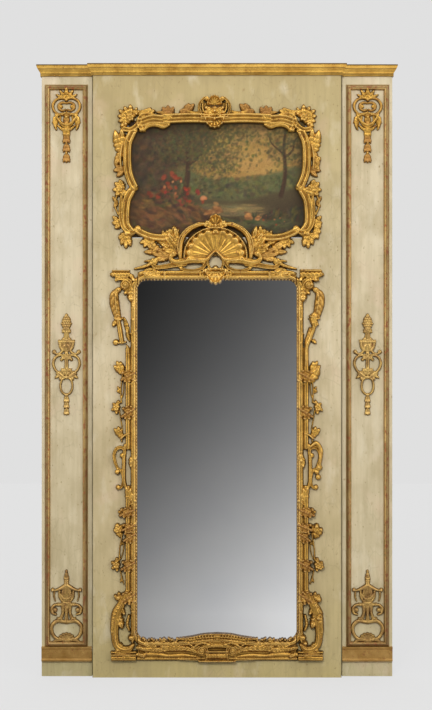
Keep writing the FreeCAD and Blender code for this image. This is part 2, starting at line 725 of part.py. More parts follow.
# Side garlands: across is outwards from the rail's outer edge, up is from the sight edge's
# upper corner for the first list and from its lower corner for the second.
GARLAND_HEAD = [
    (slab, (-10, 10), (51, 41)),
    (disc, (-2, -20), 22), (disc, (30, -41), 10),
    (ribbon, [(16, -12), (42, -22), (52, -58)], 14),
    (ribbon, [(54, -61), (43, -102), (38, -140), (23, -196), (14, -242)], 24),
    (disc, (40, -247), 12), (ribbon, [(14, -242), (40, -247)], 10),
    (spray, (0, -378), (46, -326), 44),
    (slab, (-38, -408), (14, -362)),
    (ribbon, [(10, -382), (14, -438), (16, -486)], 11),
    (disc, (26, -434), 8), (disc, (34, -510), 20),
    (slab, (-38, -558), (26, -505)),
    (spray, (4, -630), (44, -586), 40),
    (slab, (-38, -640), (14, -606)),
    (ribbon, [(0, -674), (20, -668), (42, -682), (48, -710), (42, -742), (28, -762)], 15),
    (disc, (33, -766), 9),
    (ribbon, [(0, -640), (-1, -758), (4, -814), (26, -830)], 13),
    (disc, (26, -828), 11),
]
GARLAND_FOOT = [
    (ribbon, [(-12, 640), (-6, 585), (-14, 520)], 30),
    (slab, (-44, 490), (23, 518)),
    (disc, (34, 436), 21), (slab, (-38, 380), (20, 434)),
    (ribbon, [(14, 440), (10, 416), (22, 356), (24, 300)], 12),
    (disc, (34, 296), 21), (slab, (-38, 268), (18, 316)),
    (ribbon, [(12, 280), (8, 224), (18, 168)], 12),
    (disc, (26, 168), 18),
    (ribbon, [(15, 160), (42, 108), (52, 68), (52, 16), (42, -24), (14, -44), (-18, -28)],
     [14, 20, 22, 22, 22, 22, 20]),
    (disc, (-25, 6), 15), (ribbon, [(-25, 6), (-18, -28)], 16),
    (slab, (-31, -85), (55, -40)),
]


def placed(faces, x, z):
    for face in faces:
        face.translate(V(x, 0, z))
    return faces


def rail_room():
    """The space that both side rails, the top rail and the foot rail take up."""
    depth = (CENTRE_Y, CENTRE_Y - RAIL_RISE)
    rooms = [block((side * SIGHT_X, side * RAIL_X), depth, (RAIL_FOOT, RAIL_TOP)) for side in (-1, 1)]
    rooms.append(block((-SIGHT_X, SIGHT_X), depth, (SIGHT_TOP, RAIL_TOP)))
    rooms.append(block((-SIGHT_X, SIGHT_X), depth, (RAIL_FOOT, SIGHT_Z)))
    rooms.append(block((-HUMP_HALF, HUMP_HALF), (CENTRE_Y, CENTRE_Y - RAIL_GROUND), (SIGHT_Z, SIGHT_Z + HUMP_RISE)))
    rooms += [block((side * SIGHT_X, side * (SIGHT_X - SIGHT_R)), (CENTRE_Y, CENTRE_Y - RAIL_GROUND), z)
              for side in (-1, 1) for z in ((SIGHT_TOP - SIGHT_R, SIGHT_TOP), (SIGHT_Z, SIGHT_Z + SIGHT_R))]
    return rooms


@functools.cache
def mirror_carving():
    """The garland along a side rail: it lies on the panel and laps over the rail."""
    wide, slim = [placed(drawn(GARLAND_HEAD, narrow), RAIL_X, SIGHT_TOP)
                  + placed(drawn(GARLAND_FOOT, narrow), RAIL_X, SIGHT_Z) for narrow in (1.0, RIDGE)]
    wide.append(slab((RAIL_X, RAIL_FOOT), (RAIL_X + STEM_W, RAIL_TOP)))
    return scribed(relief([(wide, CARVED_LOW), (slim, CARVED_HIGH)], CENTRE_Y), rail_room())


# Apron on the foot rail: up is from the rail's lower edge.
APRON = [
    (slab, (-320, 6), (0, 34)),
    (ribbon, [(-300, 60), (-220, 44), (-140, 50), (-76, 42)], [16, 26, 26, 20]),
    (ribbon, [(-150, 84), (-100, 72), (-60, 62)], 22),
    (disc, (-56, 42), 21), (disc, (-212, 82), 13),
    (ribbon, [(-96, 88), (-48, 96), (0, 99)], 14),
    (slab, (-44, 2), (0, 40)), (slab, (-75, -6), (0, 5)),
    (ribbon, [(-28, 40), (-22, 66), (0, 84)], 14), (ribbon, [(0, 34), (0, 92)], 18),
]


def mirror_apron():
    """Scrolls, leaves and a small cushion on the foot rail."""
    whole = carved(APRON, 0, CARVED_LOW, CARVED_HIGH)
    whole.translate(V(0, CENTRE_Y, RAIL_FOOT))
    return scribed(whole, rail_room() + [mirror_carving(), flip(mirror_carving())])


# Crest: up is from the top rail's upper edge.
CREST = [
    (fan, (0, 72), 104, 88, 9),
    (ribbon, [(150 * math.cos(t), 76 + 98 * math.sin(t)) for t in (2.9, 2.55, 2.2, 1.85, 1.57)], 21),
    (disc, (-140, 68), 22), (ribbon, [(-146, 98), (-140, 68), (-112, 62)], 18),
    (spray, (0, 160), (0, 229), 54),
    (ribbon, [(-178, 62), (-156, 40), (-111, 36), (-55, 41), (-30, 60), (0, 78)], [12, 18, 22, 22, 18, 14]),
    (disc, (-178, 62), 10),
    (ribbon, [(-145, 12), (-78, 4), (-44, 22), (-34, 40)], 13),
    (ribbon, [(-162, 28), (-224, 16), (-250, 40), (-232, 58)], 13),
    (ribbon, [(-228, 33), (-270, 24), (-318, 6)], 16),
    (spray, (-156, 108), (-188, 166), 46), (spray, (-170, 86), (-232, 96), 50),
    (spray, (-186, 66), (-256, 76), 44), (ribbon, [(-140, 90), (-176, 74), (-212, 44)], 20),
    (ribbon, [(-158, 112), (-168, 80), (-178, 56)], 26),
    (spray, (0, 8), (0, -52), 84),
    (ribbon, [(-250, -14), (-300, 2), (-334, -2)], 22),
]


def picture_frame_room():
    """The space of the picture frame's ground along the opening's lower edge."""
    return block((-PICTURE_X - PICTURE_BORDER, PICTURE_X + PICTURE_BORDER), (CENTRE_Y, CENTRE_Y - PICTURE_GROUND),
                 (PICTURE_Z - PICTURE_BORDER, PICTURE_Z + PICTURE_LAP))


@functools.cache
def mirror_crest():
    """The carved crest: a shell under an arch, scrolls, sprays and a leaf over the top rail."""
    whole = carved(CREST, 0, CREST_LOW, CREST_HIGH)
    whole.translate(V(CREST_X, CENTRE_Y, RAIL_TOP))
    return scribed(whole, rail_room() + [picture_frame_room(), mirror_carving(), flip(mirror_carving())])


# ---- picture ------------------------------------------------------------------------------------
CANVAS_X = PICTURE_X - PICTURE_CLEAR
CANVAS_Z = (PICTURE_Z + PICTURE_CLEAR, PICTURE_TOP - PICTURE_CLEAR)
BAR_X = CANVAS_X - CANVAS_T
BAR_Z = (CANVAS_Z[0] + CANVAS_T, CANVAS_Z[1] - CANVAS_T)
BAR_DEPTH = (CENTRE_Y + CANVAS_T, CENTRE_Y + CANVAS_T + STRETCHER_T)


def tacks():
    """Tacks round the canvas's turned edges."""
    middle = (BAR_DEPTH[0] + BAR_DEPTH[1]) / 2
    made = []
    across, up = int(2 * BAR_X / TACK_STEP), int((BAR_Z[1] - BAR_Z[0]) / TACK_STEP)
    centre = (BAR_Z[0] + BAR_Z[1]) / 2
    for way in (-1, 1):
        for i in range(across):
            x = (i - (across - 1) / 2) * TACK_STEP
            made.append(tack(V(x, middle, CANVAS_Z[(way + 1) // 2]), V(0, 0, way)))
        for i in range(up):
            made.append(tack(V(way * CANVAS_X, middle, centre + (i - (up - 1) / 2) * TACK_STEP), V(way, 0, 0)))
    return made


def tack(point, out):
    head = Part.makeCylinder(TACK_R, TACK_HEAD_T, point, out)
    return joined([head, Part.makeCylinder(TACK_SHANK_R, TACK_SHANK_L, point, out * -1)])


def canvas_tacks():
    return Part.makeCompound(tacks())


def painting_canvas():
    """The canvas: its face and the four edges that are turned over the stretcher."""
    outside = block((-CANVAS_X, CANVAS_X), (CENTRE_Y, BAR_DEPTH[1]), CANVAS_Z)
    return outside.cut([block((-BAR_X, BAR_X), BAR_DEPTH, BAR_Z)] + tacks())


def stretcher_bar(place):
    """One of the stretcher's four bars, with open corner joints halved into each other."""
    half_y = (BAR_DEPTH[0] + BAR_DEPTH[1]) / 2
    low, high = BAR_Z
    if place in ("left", "right"):
        way = -1 if place == "left" else 1
        x = (way * (BAR_X - STRETCHER_W), way * BAR_X)
        bar = block(x, BAR_DEPTH, BAR_Z)
        laps = [block(x, (half_y, BAR_DEPTH[1]), z) for z in ((low, low + STRETCHER_W), (high - STRETCHER_W, high))]
    else:
        z = (low, low + STRETCHER_W) if place == "bottom" else (high - STRETCHER_W, high)
        bar = block((-BAR_X, BAR_X), BAR_DEPTH, z)
        laps = [block((side * (BAR_X - STRETCHER_W), side * BAR_X), (BAR_DEPTH[0], half_y), z) for side in (-1, 1)]
    return bar.cut(laps + tacks())


def stretcher_keys():
    """Two thin wedges in each inner corner, one behind the other."""
    made = []
    for side in (-1, 1):
        for up in (-1, 1):
            x = side * (BAR_X - STRETCHER_W)
            z = BAR_Z[0] + STRETCHER_W if up < 0 else BAR_Z[1] - STRETCHER_W
            outline = [(x, z), (x - side * KEY_LEG, z), (x, z - up * KEY_LEG)]
            for step in (1, 3):
                back = BAR_DEPTH[0] + step * STRETCHER_T / 5
                made.append(front_prism(outline, (back, back + KEY_T)))
    return Part.makeCompound(made)


def ground_strips():
    """The picture frame's flat ground, as its outline and as its opening."""
    outer_x, inner_x = PICTURE_X + PICTURE_BORDER, PICTURE_X - PICTURE_LAP
    outer = (PICTURE_Z - PICTURE_BORDER, PICTURE_TOP + PICTURE_BORDER)
    inner = (PICTURE_Z + PICTURE_LAP, PICTURE_TOP - PICTURE_LAP)
    return outer_x, inner_x, outer, inner


CORNER_X, CORNER_Z = 50.0, 66.0      # cut corners at the top of the picture's sight edge
CORNER_FOOT_X, CORNER_FOOT_Z = 56.0, 30.0

# Picture frame: across is from the opening's right edge, up from its upper or lower edge.
PICTURE_HEAD = [
    (ribbon, [(-358, 5), (-108, 5)], 32), (ribbon, [(-120, 5), (-78, 0), (-62, -21), (-58, -42)], 22),
    (disc, (-66, -44), 10), (disc, (-4, 18), 34), (disc, (19, 39), 20), (disc, (-34, 41), 19),
    (spray, (-46, 14), (-109, 44), 40), (spray, (-190, 16), (-158, 56), 44),
    (spray, (-266, 16), (-226, 46), 44), (ribbon, [(-34, 40), (-76, 28), (-110, 12)], 24),
]
PICTURE_SIDE_HEAD = [
    (ribbon, [(-4, -60), (-4, -124), (-10, -184), (-20, -236), (-30, -262)], 29),
    (lobe, (24, -150), (54, -46), 38), (spray, (10, -208), (58, -212), 44),
    (spray, (0, -120), (46, -84), 44),
]
PICTURE_SIDE_FOOT = [
    (ribbon, [(-30, 206), (-12, 168), (2, 132), (8, 84), (0, 44), (-22, 24)], 29),
    (disc, (34, 190), 24), (ribbon, [(-14, 190), (34, 190)], 26), (spray, (26, 166), (44, 128), 40),
    (spray, (26, 56), (60, 86), 42), (spray, (-6, 34), (2, -40), 56),
]
PICTURE_FOOT = [
    (ribbon, [(-38, 28), (-62, 16), (-94, 2), (-142, -2), (-200, -2)], 28),
    (disc, (-42, 30), 16), (spray, (-182, 0), (-190, 46), 40), (spray, (-110, -8), (-66, -36), 40),
]


def outline(points):
    corners = [spot(p) for p in points]
    return Part.Face(Part.makePolygon(corners + corners[:1]))


@functools.cache
def painting_frame_top():
    outer_x, inner_x, outer, inner = ground_strips()
    ground = [slab((-outer_x, inner[1]), (outer_x, outer[1]))]
    ground += both([outline([(inner_x, inner[1]), (inner_x, inner[1] - CORNER_Z), (inner_x - CORNER_X, inner[1])])])
    wide, slim = [both(placed(drawn(PICTURE_HEAD, narrow), PICTURE_X, PICTURE_TOP)) for narrow in (1.0, RIDGE)]
    return relief([(ground, PICTURE_GROUND), (wide, FRAME_LOW), (slim, FRAME_HIGH)], CENTRE_Y)


@functools.cache
def painting_frame_bottom():
    outer_x, inner_x, outer, inner = ground_strips()
    ground = [slab((-outer_x, outer[0]), (outer_x, inner[0]))]
    ground += both([outline([(inner_x, inner[0]), (inner_x, inner[0] + CORNER_FOOT_Z),
                             (inner_x - CORNER_FOOT_X, inner[0])])])
    wide, slim = [both(placed(drawn(PICTURE_FOOT, narrow), PICTURE_X, PICTURE_Z)) for narrow in (1.0, RIDGE)]
    whole = relief([(ground, PICTURE_GROUND), (wide, FRAME_LOW), (slim, FRAME_HIGH)], CENTRE_Y)
    return scribed(whole, [mirror_crest()])


def painting_frame_side():
    """A side of the picture frame, scribed to the lengths above and below."""
    outer_x, inner_x, outer, inner = ground_strips()
    ground = [slab((inner_x, inner[0]), (outer_x, inner[1]))]
    wide, slim = [placed(drawn(PICTURE_SIDE_HEAD, narrow), PICTURE_X, PICTURE_TOP)
                  + placed(drawn(PICTURE_SIDE_FOOT, narrow), PICTURE_X, PICTURE_Z) for narrow in (1.0, RIDGE)]
    whole = relief([(ground, PICTURE_GROUND), (wide, FRAME_LOW), (slim, FRAME_HIGH)], CENTRE_Y)
    return scribed(whole, [painting_frame_top(), painting_frame_bottom()])


# Cartouche over the picture: up is from the opening's upper edge.
CARTOUCHE = [
    (ribbon, [(-8, 14), (-44, 22), (-61, 50), (-50, 80), (-20, 92)], 15),
    (fan, (0, 68), 28, 34, 5), (ribbon, [(-40, 46), (-24, 30), (0, 26)], 18),
    (disc, (0, 40), 24), (spray, (0, 14), (0, -30), 84), (ribbon, [(-44, 60), (-20, 74), (0, 78)], 9),
]


def painting_cartouche():
    """The small shell cartouche that crowns the picture frame."""
    whole = carved(CARTOUCHE, 0, CREST_LOW, CREST_HIGH)
    whole.translate(V(CARTOUCHE_X, CENTRE_Y, PICTURE_TOP))
    return scribed(whole, [painting_frame_top()])


# ---- ornaments on the side panels -----------------------------------------------------------------
# Across is from the field's middle. Up is from the moulding's lower edge in the upper list,
# from the ornament's centre in the middle one and from the plinth band in the lower one.
UPPER_DROP = [
    (spray, (0, -44), (0, -1), 66),
    (ribbon, [(-12, -30), (-40, -38), (-53, -60), (-44, -90), (-20, -100), (0, -98)], 12),
    (ribbon, [(-8, -58), (-22, -66), (-16, -82), (0, -84)], 8), (ribbon, [(0, -44), (0, -100)], 12),
    (ribbon, [(-8, -92), (-38, -104), (-48, -128), (-40, -154)], 12), (disc, (-40, -152), 9),
    (ribbon, [(-28, -128), (-18, -146), (0, -152)], 14), (disc, (0, -104), 12),
    (lobe, (0, -100), (0, -186), 44), (lobe, (0, -176), (0, -226), 36), (lobe, (0, -214), (0, -264), 38),
    (lobe, (0, -250), (0, -298), 38), (ribbon, [(0, -150), (0, -290)], 12),
]
MIDDLE_DROP = [
    (ribbon, [(0, 196), (0, 172), (0, 138)], [12, 40, 30]), (ribbon, [(0, 140), (0, 100)], 20),
    (slab, (-34, 90), (0, 100)), (ribbon, [(0, 96), (0, 62)], 44),
    (ribbon, [(-10, 84), (-16, 55), (-40, 48), (-48, 52)], 11), (disc, (-48, 52), 8),
    (ribbon, [(0, 34), (-34, 36), (-52, 8), (-40, -20), (-12, -40), (0, -44)], 11),
    (ribbon, [(0, 66), (0, -20)], 14), (spray, (0, -26), (-44, -50), 34), (spray, (0, -26), (0, -60), 30),
    (oval, (0, -83), 24, 36, 9), (ribbon, [(0, -56), (0, -48)], 12),
    (lobe, (0, -112), (0, -150), 28), (lobe, (0, -140), (0, -178), 28), (lobe, (0, -166), (0, -203), 28),
    (ribbon, [(0, -116), (0, -196)], 8),
]
LOWER_DROP = [
    (ribbon, [(0, 306), (0, 280), (0, 250)], [8, 24, 18]), (slab, (-58, 232), (0, 244)),
    (ribbon, [(0, 250), (0, 236)], 50), (ribbon, [(-52, 232), (-54, 206), (-44, 171)], [8, 11, 14]),
    (slab, (-26, 170), (0, 204)), (ribbon, [(0, 206), (0, 234)], 18), (slab, (-38, 162), (0, 176)),
    (ribbon, [(-26, 176), (-44, 166), (-52, 146), (-40, 132)], 10), (disc, (-46, 140), 13),
    (ribbon, [(0, 164), (0, 100)], 40), (oval, (0, 68), 60, 43, 13), (spray, (0, 96), (0, 58), 46),
    (ribbon, [(-30, 108), (-44, 128)], 12), (fan, (0, 20), 34, 40, 5), (ribbon, [(0, 24), (0, 30)], 40),
    (ribbon, [(-10, 30), (-36, 28), (-50, 16)], 12), (disc, (-50, 14), 10), (slab, (-40, 18), (0, 26)),
]


def pilaster_ornament(strokes, up):
    whole = largest(carved(strokes, 0, DROP_LOW, DROP_HIGH))
    whole.translate(V(DROP_X, FIELD_Y, up))
    return whole


def upper_ornament():
    return pilaster_ornament(UPPER_DROP, FIELD_TOP - MOULD_LAP)


def middle_ornament():
    return pilaster_ornament(MIDDLE_DROP, MIDDLE_DROP_Z)


def lower_ornament():
    return scribed(pilaster_ornament(LOWER_DROP, BAND_TOP), [pilaster_moulding()])


# ---- all pieces -------------------------------------------------------------------------------------
SINGLE = {
    "cornice_centre": cornice_centre, "cornice_returns": cornice_returns,
    "mirror_glass": mirror_glass, "mirror_backboards": mirror_backboards, "glazing_blocks": glazing_blocks,
    "mirror_frame_top": mirror_frame_top, "mirror_frame_bottom": mirror_frame_bottom,
    "mirror_crest": mirror_crest, "mirror_apron": mirror_apron,
    "painting_canvas": painting_canvas, "stretcher_keys": stretcher_keys, "canvas_tacks": canvas_tacks,
    "painting_frame_top": painting_frame_top, "painting_frame_bottom": painting_frame_bottom,
    "painting_cartouche": painting_cartouche, "hanging_plates": hanging_plates, "screws": screws,
}
PAIRED = {
    "centre_stile_{}": centre_stile, "packing_stile_{}": packing_stile, "cornice_{}": cornice_side,
    "pilaster_{}_outer_stile": pilaster_outer_stile, "pilaster_{}_inner_stile": pilaster_inner_stile,
    "pilaster_{}_field": pilaster_field, "pilaster_{}_moulding": pilaster_moulding,
    "pilaster_{}_upper_ornament": upper_ornament, "pilaster_{}_middle_ornament": middle_ornament,
    "pilaster_{}_lower_ornament": lower_ornament, "plinth_band_{}": plinth_band,
    "mirror_frame_{}": mirror_frame_side, "mirror_carving_{}": mirror_carving,
    "painting_frame_{}": painting_frame_side,
}


def pieces():
    """Every sub-part by name."""
    found = {name: make() for name, make in SINGLE.items()}
    for name, make in PAIRED.items():
        found[name.format("right")] = make()
        found[name.format("left")] = flip(found[name.format("right")])
    for place in CENTRE_RAILS:
        found[f"centre_rail_{place}"] = centre_rail(place)
    for place in BATTEN_FEET:
        found[f"back_batten_{place}"] = back_batten(place)
    for place in SIDE_RAILS:
        found[f"pilaster_right_{place}_rail"] = pilaster_rail(place)
        found[f"pilaster_left_{place}_rail"] = flip(found[f"pilaster_right_{place}_rail"])
    for place in ("left", "right", "top", "bottom"):
        found[f"stretcher_bar_{place}"] = stretcher_bar(place)
    return found


os.makedirs("parts", exist_ok=True)
for name, shape in pieces().items():
    print(f"{name}: {len(shape.Solids)} solids, valid {shape.isValid()}, {shape.Volume / 1000:.0f} cm3")
    shape.exportStep(f"parts/{name}.step")
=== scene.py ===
"""A painted and gilded trumeau mirror: its finishes and carving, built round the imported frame.

The CAD gives the joinery, the rails and the mouldings. This file carves the ornament as reliefs,
paints the canvas, and gives every piece the material that its real surface has.
"""
import json
import math

import bpy
import numpy as np
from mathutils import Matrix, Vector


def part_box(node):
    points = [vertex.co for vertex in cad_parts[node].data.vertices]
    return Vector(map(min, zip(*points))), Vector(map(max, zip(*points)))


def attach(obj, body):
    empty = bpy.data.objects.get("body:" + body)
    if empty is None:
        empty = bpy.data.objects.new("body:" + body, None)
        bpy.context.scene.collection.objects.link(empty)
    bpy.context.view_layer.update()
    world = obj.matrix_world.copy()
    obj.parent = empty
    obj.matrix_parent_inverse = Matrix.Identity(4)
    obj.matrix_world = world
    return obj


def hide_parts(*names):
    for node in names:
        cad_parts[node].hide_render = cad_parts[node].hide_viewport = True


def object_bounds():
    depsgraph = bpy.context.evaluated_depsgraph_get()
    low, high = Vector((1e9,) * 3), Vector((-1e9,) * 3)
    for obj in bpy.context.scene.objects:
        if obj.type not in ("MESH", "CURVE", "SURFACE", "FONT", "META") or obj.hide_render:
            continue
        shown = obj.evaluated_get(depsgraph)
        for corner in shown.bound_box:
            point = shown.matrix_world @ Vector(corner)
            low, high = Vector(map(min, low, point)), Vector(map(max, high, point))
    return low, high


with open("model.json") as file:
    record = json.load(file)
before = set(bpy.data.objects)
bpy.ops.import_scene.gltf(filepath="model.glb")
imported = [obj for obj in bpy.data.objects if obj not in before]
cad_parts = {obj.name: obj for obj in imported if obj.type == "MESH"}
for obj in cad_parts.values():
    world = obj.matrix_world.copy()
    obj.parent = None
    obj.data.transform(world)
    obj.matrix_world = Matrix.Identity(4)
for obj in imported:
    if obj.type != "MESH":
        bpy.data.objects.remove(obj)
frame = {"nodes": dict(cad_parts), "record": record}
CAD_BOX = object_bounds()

bl_info = {
    "name": "Trumeau Mirror",
    "version": (1, 0, 0),
    "blender": (4, 5, 0),
    "location": "View3D > Sidebar > Trumeau",
    "description": "Carves, gilds and paints a trumeau mirror over its joinery",
    "category": "Object",
}

MM = 0.001
BODY = "root"


def reach_of(node, way, end):
    """A corner of a CAD node in millimetres: way 0, 1, 2 for x, y, z and end 0 or 1 for low or high."""
    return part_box(node)[end][way] / MM


def middle_of(node, way):
    """The middle of a CAD node in millimetres."""
    return (reach_of(node, way, 0) + reach_of(node, way, 1)) / 2


def half_of(node, way):
    """Half the size of a CAD node in millimetres."""
    return (reach_of(node, way, 1) - reach_of(node, way, 0)) / 2


# ---- sizes, in millimetres, read from the frame where it has them --------------------------------
PANEL_Y = reach_of("centre_stile_left", 1, 0)
FIELD_Y = reach_of("pilaster_left_field", 1, 0)
RAIL_X = reach_of("mirror_frame_right", 0, 1)
SIGHT_X = reach_of("mirror_frame_right", 0, 0)
RAIL_FOOT = reach_of("mirror_frame_right", 2, 0)
RAIL_TOP = reach_of("mirror_frame_right", 2, 1)
SIGHT_LAP = 8        # how far the rails lap over the plate
SIGHT_Z = reach_of("mirror_glass", 2, 0) + SIGHT_LAP
SIGHT_TOP = reach_of("mirror_glass", 2, 1) - SIGHT_LAP
SIGHT_R = 36         # the sight edge's round corners
HUMP_HALF, HUMP_RISE = 148, 14       # its swell at the middle of the foot
DROP_X = middle_of("pilaster_left_field", 0)
CORNICE_Z = [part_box("cornice_centre")[end][2] for end in (0, 1)]
PILASTER_MIDDLE = middle_of("pilaster_left_moulding", 2)
MOULDING_W = 18      # the pilasters' moulding
MOULDING_HALF = [half_of("pilaster_left_moulding", way) for way in (0, 2)]
MOULDING = ([half - MOULDING_W for half in MOULDING_HALF], MOULDING_HALF)
STRAY = 3            # how far gold and dirt stray past the moulding on to the paint
SEAM_X = -reach_of("centre_stile_left", 0, 0)
CREST_X, CARTOUCHE_X = -6, -10       # the middles of two ornaments that hang a little to the left
EDGE = 0.26          # how high a carved edge stands, as a share of the form's height
SHADOW_FILL = 2.0           # height of a low ground filled in behind pierced carving and coloured dark: a painted shadow
BARE = -60.0         # a relief's edge value where nothing is carved
DROP_STEP, CARTOUCHE_STEP, CARVING_STEP, RAIL_STEP = 1.3, 1.4, 1.6, 1.8     # grids of the reliefs
# painted shade in bands across the profiles: how dark the gilding is, by the share of the way up the
# cornice or out across the moulding
CORNICE_SHADE_BANDS = ((0.06, 0.65), (0.14, 0.05), (0.22, 0.60), (0.30, 0.0), (0.60, 0.0), (0.68, 0.60),
                 (0.76, 0.05), (0.92, 0.10), (1.0, 0.95))
MOULDING_SHADE_BANDS = ((0.0, 0.15), (0.10, 0.0), (0.30, 0.0), (0.42, 0.55), (0.70, 0.45), (0.84, 0.75),
                  (1.0, 0.30))


# ---- small helpers ---------------------------------------------------------------------------------
def tint(text):
    """An sRGB hex colour as red, green and blue from 0 to 1."""
    return np.array([int(text[i:i + 2], 16) / 255 for i in (0, 2, 4)])


def to_linear(values):
    """sRGB values from 0 to 1 as linear light."""
    return np.where(values <= 0.04045, values / 12.92, ((values + 0.055) / 1.055) ** 2.4)


def linear(text):
    """An sRGB hex colour as linear red, green, blue and full alpha."""
    return (*to_linear(tint(text)).tolist(), 1.0)


def stand(name, data):
    """Puts an object in the scene."""
    made = bpy.data.objects.new(name, data)
    bpy.context.scene.collection.objects.link(made)
    return made


ATTRIBUTE, MATH, MIX, RAMP = "ShaderNodeAttribute", "ShaderNodeMath", "ShaderNodeMix", "ShaderNodeValToRGB"
COLOURS = {"data_type": "RGBA", "out": 2}


def add(tree, kind, *values, out=0, stops=(), sockets=None, **settings):
    """Adds one node and gives back its output. Values go to the inputs in order, and sockets to the named
    ones: a level, a hex colour or another node's output. Stops fill a colour ramp."""
    made = tree.nodes.new(kind)
    for name, value in settings.items():
        setattr(made, name, value)
    for key, value in {**dict(enumerate(values)), **(sockets or {})}.items():
        if isinstance(value, bpy.types.NodeSocket):
            tree.links.new(value, made.inputs[key])
        else:
            made.inputs[key].default_value = linear(value) if isinstance(value, str) else value
    for i, (place, level) in enumerate(stops):
        stop = made.color_ramp.elements[i] if i < 2 else made.color_ramp.elements.new(place)
        stop.position = place
        stop.color = linear(level) if isinstance(level, str) else (level, level, level, 1.0)
    return made.outputs[out] if len(made.outputs) else made


# ---- patterns the materials share ------------------------------------------------------------------
def along(tree, axis):
    """How far a point lies along an axis, in metres."""
    return add(tree, "ShaderNodeSeparateXYZ", add(tree, "ShaderNodeTexCoord", out="Object"), out=axis)


def away(tree, value, place):
    """How far a value in metres is from a place in millimetres."""
    return add(tree, MATH, add(tree, MATH, value, place * MM, operation="SUBTRACT"), operation="ABSOLUTE")


def scaled(tree, size_mm, stretch, shift=0.0):
    """Places on the piece in units of size_mm, drawn out along an axis by a stretch over 1."""
    place = add(tree, "ShaderNodeTexCoord", out="Object")
    scale = [1 / (size_mm * MM * s) for s in stretch]
    return add(tree, "ShaderNodeMapping", place, sockets={"Location": [shift] * 3, "Scale": scale})


def grain(tree, size_mm, detail=3.0, stretch=(1, 1, 1), shift=0.0):
    """Noise whose blots are size_mm across."""
    return add(tree, "ShaderNodeTexNoise", scaled(tree, size_mm, stretch, shift),
               sockets={"Scale": 1.0, "Detail": detail, "Roughness": 0.55})


def cracks(tree, size_mm, stretch=(1, 1, 1)):
    """How far it is to the nearest crack of a net size_mm wide that shows in some places alone."""
    net = add(tree, "ShaderNodeTexVoronoi", scaled(tree, size_mm, stretch), sockets={"Scale": 1.0},
              feature="DISTANCE_TO_EDGE", out="Distance")
    sound = add(tree, MATH, grain(tree, size_mm * 7, 2.0), -3.0, 1.6, operation="MULTIPLY_ADD",
                use_clamp=True)
    return add(tree, MATH, net, sound, operation="ADD")


def stain(tree, under, over, share, mask, none, full):
    """Lays a colour over another by a share that grows as the mask goes from none to full."""
    reach = add(tree, RAMP, mask, stops=sorted([(none, 0.0), (full, share)]))
    return add(tree, MIX, sockets={0: reach, 6: under, 7: over}, **COLOURS)


def height_in(tree, low, high):
    """A mask that goes from 0 to 1 between two heights in metres."""
    return add(tree, "ShaderNodeMapRange", along(tree, "Z"), low, high)


def across_moulding(tree, inner, outer):
    """A mask that goes from 0 to 1 across the rectangular moulding of both pilasters, from its inner half
    sizes about its middle out to its outer ones, all in millimetres."""
    far = []
    for axis, middle, half in (("X", -DROP_X, inner[0]), ("Z", PILASTER_MIDDLE, inner[1])):
        value = away(tree, add(tree, MATH, along(tree, axis), operation="ABSOLUTE"), middle)
        far.append(add(tree, MATH, value, half * MM, operation="SUBTRACT"))
    gap = add(tree, MATH, *far, operation="MAXIMUM")
    return add(tree, "ShaderNodeMapRange", gap, 0.0, (outer[0] - inner[0]) * MM)


def bare_pine(tree):
    """The colour of old bare softwood, and the height of its rings."""
    rings = grain(tree, 9, 3.0, stretch=(1, 1, 22))
    colour = add(tree, RAMP, rings, stops=[(0.30, "7A5430"), (0.52, "A47B4C"), (0.72, "BC9663")])
    return stain(tree, colour, "57402A", 0.5, grain(tree, 160, 4.0), 0.62, 0.35), rings


def material(name):
    """An empty material and its node tree."""
    made = bpy.data.materials.new(name)
    made.use_nodes = True
    made.node_tree.nodes.clear()
    return made, made.node_tree


def surface(tree, **sockets):
    """Closes a material with a Principled shader whose sockets are named with _ for a blank."""
    values = {name.replace("_", " "): value for name, value in sockets.items()}
    add(tree, "ShaderNodeOutputMaterial", add(tree, "ShaderNodeBsdfPrincipled", sockets=values))


